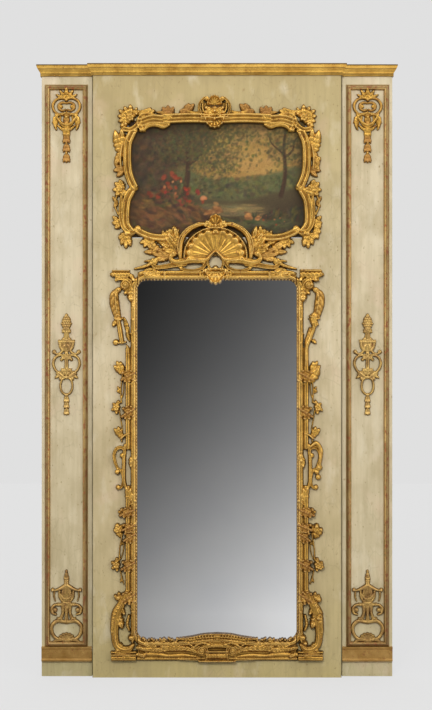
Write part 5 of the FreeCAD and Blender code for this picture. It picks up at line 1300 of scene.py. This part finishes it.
VARNISH = np.array([0.98, 0.84, 0.72])      # what old varnish lets through of red, green and blue
FRUIT = ("B8905E", "8E6B45", "6A4E36", "CBA56F")     # the light and dark sides of fruit on the ground


def paint_landscape(across, up):
    """A generic wooded valley at evening: dark trees to the left, a lit bank with a flowering bush, a pool,
    blue-green woods and a hazy yellow sky, in old darkened oil colours."""
    easel = Easel(across, up, seed=11)
    u, v, rng = easel.u, easel.v, easel.rng
    easel.wash(np.ones(u.shape), "7E7149")
    easel.wash(step_up(0.30, 0.85, u) * 0.85, "978A56")
    easel.wash(step_up(0.65, 1.0, v) * step_up(0.35, 0.8, u) * 0.7, "7E8258")
    easel.wash(cloud(u.shape, 3, rng) * step_up(0.45, 0.8, v) * 0.6, "B7A468")
    easel.scatter(420, lambda a, b: float(b > 0.45 and a > 0.25),
                  ["A79A62", "8C8A5C", "B9A76C", "7C7C54", "9A8850"], 0.05, 0.012, angle=0.25, turn=0.3,
                  strength=0.35)
    glow = np.exp(-((u - 0.73) / 0.15) ** 2 - ((v - 0.62) / 0.14) ** 2)
    easel.wash(glow * 0.6, "CBB675")

    far = hill(u, [(0, .55), (.3, .56), (.45, .50), (.6, .47), (.75, .50), (.88, .56), (1, .60)])
    easel.wash(step_up(0.02, -0.03, v - far - 0.05 * cloud(u.shape, 7, rng)), "5C6A4C")
    easel.scatter(500,
                  lambda a, b: float(0.34 < b < hill(a, [(0, .5), (.5, .5), (.8, .53), (1, .6)]) and a > .3),
                  ["5E6E4E", "4A5A42", "75805A", "6A7048", "3F4A38"], 0.018, 0.010, turn=1.2, strength=0.5)
    near = hill(u, [(0, .44), (.25, .42), (.4, .34), (.58, .31), (.72, .34), (.86, .40), (1, .44)])
    easel.wash(step_up(0.03, -0.03, v - near), "4C4A36")
    easel.wash(step_up(0.0, -0.22, v - near) * 0.8, "3B3628")

    pool = np.exp(-((u - 0.56) / 0.20) ** 4 - ((v - 0.235) / 0.055) ** 4)
    easel.wash(pool * 0.85, "6E745A")
    easel.wash(np.exp(-((u - 0.62) / 0.10) ** 2 - ((v - 0.245) / 0.022) ** 2) * 0.7, "A79C6C")
    easel.scatter(120, lambda a, b: float(abs(a - .56) < .2 and abs(b - .235) < .05),
                  ["7C8062", "5A5E4A", "A3986A"], 0.03, 0.005, turn=0.08, strength=0.4)

    crown = np.exp(-((u - 0.10) / 0.26) ** 2 - ((v - 0.86) / 0.36) ** 2)
    crown = crown + 0.35 * cloud(u.shape, 8, rng) - 0.12
    easel.wash(step_up(0.28, 0.62, crown) * 0.95, "3A352A")
    easel.wash(step_up(0.30, 0.0, u) * 0.85, "37322A")
    easel.scatter(900, lambda a, b: float(a < 0.36 + 0.10 * math.sin(9 * b) and b > 0.34),
                  ["4B4434", "59503A", "3B372C", "6A5C3E", "463D30", "2E2A22"], 0.022, 0.011, turn=1.4,
                  strength=0.45)
    for start, end, width in (((.30, .30), (.37, .98), .016), ((.335, .62), (.47, .84), .008),
                              ((.35, .76), (.25, .97), .008), ((.86, .36), (.90, .97), .012),
                              ((.885, .66), (.80, .86), .006), ((.89, .7), (.97, .88), .006)):
        for t in np.linspace(0, 1, 42):
            a, b = start[0] * (1 - t) + end[0] * t, start[1] * (1 - t) + end[1] * t
            easel.dab(a + 0.012 * math.sin(6 * t), b, width * (1.25 - 0.6 * t), width * (1.25 - 0.6 * t),
                      1.4, tint("3C3023"), 0.85)
            easel.dab(a + width * 0.4, b, width * 0.25, width * 0.5, 1.4, tint("8A6E46"), 0.4)
    for centre, size, count in (((.43, .84), .16, 620), ((.52, .62), .10, 260), ((.30, .80), .12, 260),
                                ((.86, .84), .12, 330), ((.98, .72), .09, 220), ((.60, .97), .10, 150)):
        easel.scatter(count * 2, lambda a, b, c=centre, s=size: math.exp(-((a - c[0]) / s) ** 2
                                                                         - ((b - c[1]) / (s * 1.3)) ** 2),
                      ["44523A", "55603F", "3E4833", "66683F", "4C4A2C"], 0.009, 0.006, turn=1.5,
                      strength=0.45)

    bank = hill(u, [(0, .36), (.12, .39), (.26, .37), (.40, .27), (.5, .15), (1, .02)])
    easel.wash(step_up(0.02, -0.03, v - bank), "54422C")
    easel.scatter(520,
                  lambda a, b: float(b < hill(a, [(0, .38), (.26, .38), (.42, .25), (.5, .13), (1, .04)])),
                  ["6B5233", "46382A", "7D6440", "3A3025", "5E5A38", "8A7148"], 0.026, 0.009, angle=-0.3,
                  turn=0.5, strength=0.5)
    easel.scatter(420, lambda a, b: float(a > 0.60 and b < 0.12 + 0.34 * (a - 0.55)),
                  ["38402C", "4A5234", "2C3226", "5E6238", "433A28"], 0.024, 0.006, angle=1.3, turn=0.5,
                  strength=0.6)
    easel.scatter(260, lambda a, b: float(a > 0.5 and b < 0.16), ["4E5A40", "667052", "38402E"], 0.03, 0.007,
                  turn=0.4, strength=0.5)

    bloom = [(.20, .44), (.27, .47), (.34, .42), (.24, .36), (.40, .35), (.16, .34), (.31, .33)]
    for a, b in bloom:
        easel.scatter(60, lambda x, y, a=a, b=b: math.exp(-((x - a) / .042) ** 2 - ((y - b) / .06) ** 2),
                      ["8C3B28", "A55238", "6E2E22", "9A4630"], 0.016, 0.011, turn=1.5, strength=0.75)
        easel.scatter(34, lambda x, y, a=a, b=b: math.exp(-((x - a - .006) / .026) ** 2
                                                          - ((y - b - .012) / .038) ** 2),
                      ["DDB08A", "D09A72", "EAC8A0", "C08060"], 0.013, 0.010, turn=1.5, strength=0.85)
    easel.scatter(240, lambda x, y: math.exp(-((x - .28) / .14) ** 2 - ((y - .37) / .07) ** 2),
                  ["3E4430", "54583A", "2F3226"], 0.010, 0.006, turn=1.4, strength=0.6)
    for a, b, s in ((.50, .24, .03), (.455, .21, .022), (.68, .18, .026), (.73, .165, .018)):
        for k in range(4 * len(FRUIT)):
            easel.dab(a + rng.normal(0, s * .4), b + rng.normal(0, s * .5), s * .6, s * .35,
                      rng.normal(0, .4), tint(FRUIT[k % len(FRUIT)]), 0.6)
    easel.scatter(40, lambda x, y: float(.76 < x < .9 and .10 < y < .2), ["9A4A30", "B77650"], 0.008, 0.006,
                  turn=1.5, strength=0.7)

    edge = np.minimum.reduce([u, 1 - u, v * 0.65, (1 - v) * 0.65])
    easel.wash(step_up(0.10, 0.0, edge) * 0.45, "2C261C")
    easel.wash((cloud(u.shape, 5, rng) - 0.3) * 0.22, "3C3220")
    tone = easel.colour * (0.94 + 0.12 * rng.random(u.shape))[..., None] * VARNISH
    return np.clip(tone, 0, 1)


def build_canvas(finish, reverse):
    """The stretched canvas: a slightly slack painted face whose edges turn back over the stretcher."""
    low, high = [np.array(corner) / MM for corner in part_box("painting_canvas")]
    fold, pitch, sag, cloth = high[1] - low[1], 3.0, 0.7, 0.8
    across, up = [int((high[k] - low[k]) / pitch) for k in (0, 2)]
    x, z = np.meshgrid(np.linspace(low[0], high[0], across), np.linspace(low[2], high[2], up), indexing="ij")
    u, v = (x - low[0]) / (high[0] - low[0]), (z - low[2]) / (high[2] - low[2])
    rng = np.random.default_rng(5)
    slack = np.sin(math.pi * u) * np.sin(math.pi * v)
    y = low[1] + 0.3 + sag * slack ** 0.5 * cloud(u.shape, 3, rng)
    points = np.stack([x, y, z], -1).reshape(-1, 3)
    grid = np.arange(across * up).reshape(across, up)
    faces = np.stack([grid[:-1, :-1], grid[1:, :-1], grid[1:, 1:], grid[:-1, 1:]], -1)
    faces = faces.reshape(-1, 4).tolist()
    colours = np.ones((across * up, 4))
    painted = paint_landscape(across, up).reshape(-1, 3)
    colours[:, :3] = to_linear(painted)
    shown = np.ones(across * up)
    for line in (grid[:, 0], grid[-1], grid[::-1, -1], grid[0, ::-1]):
        turned = points[line].copy()
        turned[:, 1] = high[1]
        back = np.arange(len(points), len(points) + len(line))
        points = np.vstack([points, turned])
        colours = np.vstack([colours, colours[line] * 0.5])
        shown = np.concatenate([shown, np.zeros(len(line))])
        faces += np.stack([line[1:], line[:-1], back[:-1], back[1:]], -1).tolist()
    mesh = bpy.data.meshes.new("canvas_sheet")
    mesh.from_pydata((points * MM).tolist(), [], faces)
    for label, kind, field, values in (("paint", "FLOAT_COLOR", "color", colours),
                                       ("painted", "FLOAT", "value", shown)):
        layer = mesh.attributes.new(label, kind, "POINT")
        layer.data.foreach_set(field, values.astype(np.float32).ravel())
    mesh.polygons.foreach_set("use_smooth", [True] * len(mesh.polygons))
    made = stand("canvas_sheet", mesh)
    fix(made, finish, "painted_canvas", "painting_canvas")
    mesh.materials.append(reverse)
    solid = made.modifiers.new("cloth", "SOLIDIFY")
    solid.thickness, solid.offset, solid.material_offset = cloth * MM, -1, 1


# ---- what repeats ------------------------------------------------------------------------------------
BEAD_SIZES = ("Pitch", "Bead Length", "Bead Width")


def bead_tree(finish):
    """A node tree that strings beads along an edge: its inputs are the pitch, length and width of a bead."""
    tree = bpy.data.node_groups.new("bead_string", "GeometryNodeTree")
    tree.interface.new_socket("Geometry", in_out="INPUT", socket_type="NodeSocketGeometry")
    for label in BEAD_SIZES:
        tree.interface.new_socket(label, in_out="INPUT", socket_type="NodeSocketFloat")
    tree.interface.new_socket("Geometry", in_out="OUTPUT", socket_type="NodeSocketGeometry")
    pitch, length, width, given = [add(tree, "NodeGroupInput", out=label)
                                   for label in (*BEAD_SIZES, "Geometry")]
    line = add(tree, "GeometryNodeMeshToCurve", given)
    even = {label: add(tree, "GeometryNodeCurveToPoints", line, sockets={"Length": pitch}, mode="LENGTH",
                       out=label) for label in ("Points", "Rotation")}
    bead = add(tree, "GeometryNodeMeshUVSphere", sockets={"Segments": 8, "Rings": 6, "Radius": 0.5})
    size = add(tree, "ShaderNodeCombineXYZ", width, width, length)
    strung = add(tree, "GeometryNodeInstanceOnPoints", sockets={**even, "Instance": bead, "Scale": size})
    smooth = add(tree, "GeometryNodeSetShadeSmooth", add(tree, "GeometryNodeRealizeInstances", strung))
    add(tree, "NodeGroupOutput", add(tree, "GeometryNodeSetMaterial", smooth, sockets={"Material": finish}))
    return tree


def sight_line(offset, y):
    """Points in metres once round the mirror's sight edge, a little outside it."""
    points = []
    for x in np.arange(-SIGHT_X + SIGHT_R, SIGHT_X - SIGHT_R + 1, 6):
        points.append((x, SIGHT_Z + hump(x) - offset))
    for cx, cz, start in ((1, 0, -90), (1, 1, 0), (-1, 1, 90), (-1, 0, 180)):
        centre = (cx * (SIGHT_X - SIGHT_R), SIGHT_TOP - SIGHT_R if cz else SIGHT_Z + SIGHT_R)
        for turn in np.radians(range(start, start + 91, 15)):
            points.append((centre[0] + (SIGHT_R + offset) * math.cos(turn),
                           centre[1] + (SIGHT_R + offset) * math.sin(turn)))
    return [(x * MM, y * MM, z * MM) for x, z in points]


def string_beads(name, points, finish, *sizes):
    """Beads round a closed line of points, as one plain mesh, from their sizes in metres."""
    path = bpy.data.meshes.new(name + "_path")
    path.from_pydata(points, [(i, (i + 1) % len(points)) for i in range(len(points))], [])
    carrier = stand(name + "_path", path)
    modifier = carrier.modifiers.new("beads", "NODES")
    modifier.node_group = bead_tree(finish)
    given = dict(zip(BEAD_SIZES, sizes))
    for item in modifier.node_group.interface.items_tree:
        if item.in_out == "INPUT" and item.name in given:
            modifier[item.identifier] = given[item.name]
    graph = bpy.context.evaluated_depsgraph_get()
    mesh = bpy.data.meshes.new_from_object(carrier.evaluated_get(graph))
    bpy.data.objects.remove(carrier)
    mesh.name = name
    return stand(name, mesh)


# ---- the add-on --------------------------------------------------------------------------------------
class TrumeauSettings(bpy.types.PropertyGroup):
    """What can be changed before the pieces are built."""
    wear: bpy.props.FloatProperty(name="Gilding Kept", default=0.60, min=0.4, max=0.9, subtype="FACTOR",
                                  description="How much of the gold leaf is still on the carving")
    streak: bpy.props.FloatVectorProperty(name="Streaks", subtype="COLOR", size=4, min=0, max=1,
                                          default=linear("8F8058"),
                                          description="Colour of the brown streaks in the old paint")
    pearl_pitch: bpy.props.FloatProperty(name="Pearl Pitch", default=13.5 * MM, min=0.01, max=0.03,
                                         unit="LENGTH",
                                         description="From one pearl on the sight edge to the next")
    pearl_length: bpy.props.FloatProperty(name="Pearl Length", default=10 * MM, min=0.003, max=0.02,
                                          unit="LENGTH", description="Length of a pearl along the edge")
    pearl_width: bpy.props.FloatProperty(name="Pearl Width", default=5.5 * MM, min=0.003, max=0.008,
                                         unit="LENGTH", description="Width of a pearl across the edge")


def finishes(scene):
    """The materials, made once and shared."""
    made = {m.name: m for m in bpy.data.materials if m.get("trumeau")}
    if made:
        return made
    opts = scene.trumeau
    panel = [(0.0, "BAA872"), (0.10, "C0AE80"), (0.32, "C6B48E"), (0.58, "D2C2A0"), (0.90, "BCAA7C"),
             (1.0, "B29E70")]
    pilaster = [(0.0, "BAAE80"), (0.12, "CBBC98"), (0.5, "D2C3A2"), (1.0, "D2C3A2")]
    made = (
        aged_paint("distempered_panel", panel, opts.streak),
        aged_paint("distempered_pilaster", pilaster, opts.streak),
        gilding("burnished_gilding", "D6A64A", "A87C2E", opts.wear, 0.82),
        gilding("bright_gilding", "E2B456", "B98A3A", opts.wear + 0.04, 0.85, size=60, bole="8A4A22",
                shade_bands=lambda tree: (height_in(tree, *CORNICE_Z), CORNICE_SHADE_BANDS)),
        gilding("dulled_gilding", "C8A45C", "987440", opts.wear, 0.65),
        gilding("moulding_gilding", "C9A666", "9C7C44", opts.wear - 0.07, 0.6, size=120, bole="A04A26",
                shade_bands=lambda tree: (across_moulding(tree, *MOULDING), MOULDING_SHADE_BANDS)),
        gilding("rubbed_gilding", "E4B668", "BC8E44", opts.wear, 0.55, size=50),
        # the pearls take a paler copy of the gilding: a painted highlight along the sight edge
        gilding("pearl_gilding", "E8C67E", "C89C52", 0.72, 0.7),
        sawn_pine("sawn_pine"),
        silvered_plate("silvered_plate"),
        oiled_iron("blackened_iron"),
        canvas_cloth("oil_on_canvas", True),
        canvas_cloth("bare_linen", False),
    )
    for finish in made:
        finish["trumeau"] = True
    return {finish.name: finish for finish in made}


class TRUMEAU_OT_joinery(bpy.types.Operator):
    """Paint, gild or leave bare the joinery, the mouldings and the fixings"""
    bl_idname = "trumeau.joinery"
    bl_label = "Joinery"

    def execute(self, context):
        coats = finishes(context.scene)
        by_slot = {"raw_pine": "sawn_pine", "gilt_wood": "burnished_gilding",
                   "forged_iron": "blackened_iron", "mirror_plate": "silvered_plate",
                   "painted_canvas": "oil_on_canvas"}
        by_word = {"moulding": "moulding_gilding", "cornice": "bright_gilding", "plinth": "rubbed_gilding"}
        for name in frame["nodes"]:
            slot = SLOTS.get(name, "painted_pine")
            if slot == "painted_pine":
                finish = "distempered_pilaster" if "pilaster" in name else "distempered_panel"
            else:
                finish = next((by_word[word] for word in by_word if word in name), by_slot[slot])
            coat(name, coats[finish])
        return {"FINISHED"}


class TRUMEAU_OT_rails(bpy.types.Operator):
    """Carve the mirror's four rails and string the pearls along their sight edge"""
    bl_idname = "trumeau.rails"
    bl_label = "Mirror Rails"

    def execute(self, context):
        opts, coats = context.scene.trumeau, finishes(context.scene)
        gold, pale = coats["burnished_gilding"], coats["pearl_gilding"]
        carve_pair(carve_side, (-RAIL_X - 2, RAIL_FOOT - 2), (-SIGHT_X + 1, RAIL_TOP + 2), "rail",
                   "mirror_frame", gold)
        carve_centre(carve_top, SIGHT_X + 2, 0, 1546, RAIL_TOP + 2, "rail_top", "mirror_frame_top", gold,
                     RAIL_STEP)
        carve_centre(carve_foot, SIGHT_X + 2, 0, RAIL_FOOT - 2, SIGHT_Z + 40, "rail_foot",
                     "mirror_frame_bottom", gold, RAIL_STEP)
        pearls = string_beads("mirror_pearls", sight_line(4.5, PANEL_Y - 9), pale, opts.pearl_pitch,
                              opts.pearl_length, opts.pearl_width)
        fix(pearls, pale, "gilt_wood")
        return {"FINISHED"}


class TRUMEAU_OT_garlands(bpy.types.Operator):
    """Carve the foliage up both sides of the mirror"""
    bl_idname = "trumeau.garlands"
    bl_label = "Garlands"

    def execute(self, context):
        gold = finishes(context.scene)["burnished_gilding"]
        carve_pair(carve_garland, (-432, 66), (-322, 1634), "garland", "mirror_carving", gold, touch_garland)
        return {"FINISHED"}


class TRUMEAU_OT_crest(bpy.types.Operator):
    """Carve the shell over the mirror and the ornament on its foot rail"""
    bl_idname = "trumeau.crest"
    bl_label = "Crest and Apron"

    def execute(self, context):
        gold = finishes(context.scene)["burnished_gilding"]
        carve_centre(carve_crest, 350, CREST_X, 1560, 1862, "crest", "mirror_crest", gold)
        carve_centre(carve_apron, 322, 0, 60, 180, "apron", "mirror_apron", gold)
        return {"FINISHED"}


class TRUMEAU_OT_picture_frame(bpy.types.Operator):
    """Carve the four sides of the picture frame and its cartouche"""
    bl_idname = "trumeau.picture_frame"
    bl_label = "Picture Frame"

    def execute(self, context):
        gold = finishes(context.scene)["burnished_gilding"]
        carve_pair(carve_picture_side, (-422, 1712), (-308, 2204), "picture_side", "painting_frame", gold,
                   touch_picture_side)
        carve_centre(carve_picture_top, 402, 0, 2180, 2298, "picture_head", "painting_frame_top", gold)
        carve_centre(carve_picture_foot, 326, 0, 1708, 1812, "picture_foot", "painting_frame_bottom", gold)
        carve_centre(carve_cartouche, 76, CARTOUCHE_X, 2186, 2344, "picture_cartouche", "painting_cartouche",
                     gold, CARTOUCHE_STEP)
        return {"FINISHED"}


class TRUMEAU_OT_drops(bpy.types.Operator):
    """Carve the three drops of ornament down each pilaster"""
    bl_idname = "trumeau.drops"
    bl_label = "Pilaster Drops"

    def execute(self, context):
        coats = finishes(context.scene)
        for label, draw, half, low_z, high_z in (("upper", carve_upper_drop, 60, 2050, 2372),
                                                 ("middle", carve_middle_drop, 60, 1040, 1458),
                                                 ("lower", carve_lower_drop, 68, 122, 434)):
            gold = coats["burnished_gilding" if label == "upper" else "dulled_gilding"]
            relief = whole_grid(half, DROP_X, low_z, high_z, DROP_STEP)
            draw(relief, DROP_X)
            relief.mirror()
            for side, flip in (("left", False), ("right", True)):
                made = to_mesh(relief, f"drop_{label}_{side}", FIELD_Y, flip, seed=len(label) + flip)
                fix(made, gold, "gilt_wood", f"pilaster_{side}_{label}_ornament")
        return {"FINISHED"}


class TRUMEAU_OT_canvas(bpy.types.Operator):
    """Paint the canvas and stretch it over its bars"""
    bl_idname = "trumeau.canvas"
    bl_label = "Painted Canvas"

    def execute(self, context):
        coats = finishes(context.scene)
        build_canvas(coats["oil_on_canvas"], coats["bare_linen"])
        return {"FINISHED"}


# what the gilding reflects: the way to a soft box, the cosines where its edge starts and ends, its level
SOFTBOXES = (((-0.62, -0.60, 0.50), 0.92, 0.985, 3.5), ((0.50, -0.62, 0.60), 0.91, 0.98, 3.2),
             ((0.90, -0.42, 0.05), 0.945, 0.99, 2.6), ((-0.92, -0.38, -0.05), 0.955, 0.992, 2.4),
             ((0.05, -0.62, 0.78), 0.94, 0.985, 2.8), ((0.10, -0.80, -0.60), 0.955, 0.985, 1.6))


# and the light above, below, to the right and to the left: where it starts and is full, its level
GLOWS = (((0.10, 0.45, 1.15), (-0.22, -0.42, 0.55)), ((0.10, 0.5, 0.85), (-0.12, -0.5, 0.65)))
PLATE_SHINE = 0.93   # how much of the light the plate gives back
# lamps: where they stand and aim in metres, their size and their power
LAMPS = (("key", (-0.7, -5.2, 3.3), (0, 0, 1.3), 0.9, 150), ("fill", (2.8, -4.0, 1.6), (0, 0, 1.1), 2.0, 40))
EYE = (-0.004, -6.066, 1.290)        # the camera, in metres
LENS, SENSOR = 76.06, 36             # its lens, in millimetres
FLOOR_HALF, FLOOR_Z = 9, -0.001
FLOOR_GLOW = 0.655   # how much of the floor's tone is its own


def sky(world):
    """A plain room: soft even light, brighter above, below and to both sides for the gilding, and the grey
    sweep that the mirror shows."""
    world.use_nodes = True
    tree = world.node_tree
    tree.nodes.clear()
    way = add(tree, "ShaderNodeTexCoord", out="Generated")
    across, up = [add(tree, "ShaderNodeSeparateXYZ", way, out=axis) for axis in "XZ"]
    lower, aside = [add(tree, "ShaderNodeMapRange", axis, start, end)
                    for axis, start, end in ((up, 0.0467, -0.17), (across, -0.053, 0.053))]
    # the plate shows 42 of 255 at its top to 152 at its foot, and 52 to 68 more at its right
    fall = add(tree, MATH, add(tree, MATH, lower, 1.35, operation="POWER"), 110 / 255, 42 / 255,
               operation="MULTIPLY_ADD")
    lean = add(tree, MATH, lower, 16 / 255, 52 / 255, operation="MULTIPLY_ADD")
    shown = add(tree, MATH, lean, aside, fall, operation="MULTIPLY_ADD")
    mirrored = add(tree, MATH, add(tree, MATH, shown, 2.2, operation="POWER"), 1 / PLATE_SHINE,
                   operation="MULTIPLY")
    glows = [(axis, *glow) for axis, ends in zip((up, across), GLOWS) for glow in ends]
    for aim, *glow in SOFTBOXES:
        glows.append((add(tree, "ShaderNodeVectorMath", way, aim, operation="DOT_PRODUCT",
                          out="Value"), *glow))
    for facing, start, full, level in glows:
        glow = add(tree, "ShaderNodeMapRange", facing, start, full, 0.0, level,
                   interpolation_type="SMOOTHSTEP")
        mirrored = add(tree, MATH, mirrored, glow, operation="MAXIMUM")
    glossy = add(tree, "ShaderNodeLightPath", out="Is Glossy Ray")
    level = add(tree, MIX, glossy, sockets={2: 0.78, 3: mirrored})
    unseen = add(tree, "ShaderNodeBackground", "FFFFFF", level)
    plain = add(tree, "ShaderNodeBackground", "E0E0E0", 1.0)
    seen = add(tree, "ShaderNodeLightPath", out="Is Camera Ray")
    add(tree, "ShaderNodeOutputWorld", add(tree, "ShaderNodeMixShader", seen, unseen, plain))


def lay_floor():
    """A sheet of pale paper all round: part of its tone is its own, so that the shadow stays soft."""
    mesh = bpy.data.meshes.new("floor")
    corners = [(x * FLOOR_HALF, y * FLOOR_HALF, FLOOR_Z) for x, y in ((-1, -1), (1, -1), (1, 1), (-1, 1))]
    mesh.from_pydata(corners, [], [(0, 1, 2, 3)])
    made = stand("floor", mesh)
    finish, tree = material("floor_paper")
    level = 0.0
    for ray in ("Is Camera Ray", "Is Glossy Ray", "Is Transmission Ray"):
        level = add(tree, MATH, add(tree, "ShaderNodeLightPath", out=ray), level, operation="ADD",
                    use_clamp=True)
    level = add(tree, MATH, level, FLOOR_GLOW, operation="MULTIPLY")
    surface(tree, Base_Color="565656", Roughness=0.9, Specular_IOR_Level=0.1, Emission_Color="FFFFFF",
            Emission_Strength=level)
    mesh.materials.append(finish)
    made.visible_glossy = False


def look(place, aim):
    """The turn that points a lamp's -Z at its aim."""
    x, y, z = [a - p for a, p in zip(aim, place)]
    return (math.atan2(math.hypot(x, y), -z), 0, math.atan2(y, x) - math.pi / 2)


class TRUMEAU_OT_stage(bpy.types.Operator):
    """Set the floor, the light and the camera"""
    bl_idname = "trumeau.stage"
    bl_label = "Stage"

    def execute(self, context):
        scene = context.scene
        lay_floor()
        scene.world = bpy.data.worlds.new("studio")
        sky(scene.world)
        for name, place, aim, size, power in LAMPS:
            lamp = stand(name, bpy.data.lights.new(name, "AREA"))
            lamp.data.energy, lamp.data.size = power, size
            lamp.location, lamp.rotation_euler = place, look(place, aim)
            lamp.visible_glossy = False
        camera = stand("camera", bpy.data.cameras.new("camera"))
        camera.location, camera.rotation_euler = EYE, (math.pi / 2, 0, 0)
        camera.data.lens, camera.data.sensor_width = LENS, SENSOR
        scene.camera = camera
        scene.view_settings.view_transform = "Standard"
        return {"FINISHED"}


SLOTS = {part["node"]: part["material_slot"] for part in frame["record"]["subparts"]}
STEPS = (TRUMEAU_OT_joinery, TRUMEAU_OT_rails, TRUMEAU_OT_garlands, TRUMEAU_OT_crest,
         TRUMEAU_OT_picture_frame, TRUMEAU_OT_drops, TRUMEAU_OT_canvas, TRUMEAU_OT_stage)


class TRUMEAU_PT_panel(bpy.types.Panel):
    """Sizes, finishes and the steps that build the mirror"""
    bl_idname = "TRUMEAU_PT_panel"
    bl_label = "Trumeau Mirror"
    bl_space_type = "VIEW_3D"
    bl_region_type = "UI"
    bl_category = "Trumeau"

    def draw(self, context):
        for name in ("wear", "streak", "pearl_pitch", "pearl_length", "pearl_width"):
            self.layout.prop(context.scene.trumeau, name)
        for step in STEPS:
            self.layout.operator(step.bl_idname)


CLASSES = (TrumeauSettings, *STEPS, TRUMEAU_PT_panel)


def register():
    for kind in CLASSES:
        bpy.utils.register_class(kind)
    bpy.types.Scene.trumeau = bpy.props.PointerProperty(type=TrumeauSettings)


def unregister():
    del bpy.types.Scene.trumeau
    for kind in reversed(CLASSES):
        bpy.utils.unregister_class(kind)


def main():
    register()
    for step in STEPS:
        family, label = step.bl_idname.split(".")
        getattr(getattr(bpy.ops, family), label)()


if __name__ == "__main__":
    main()
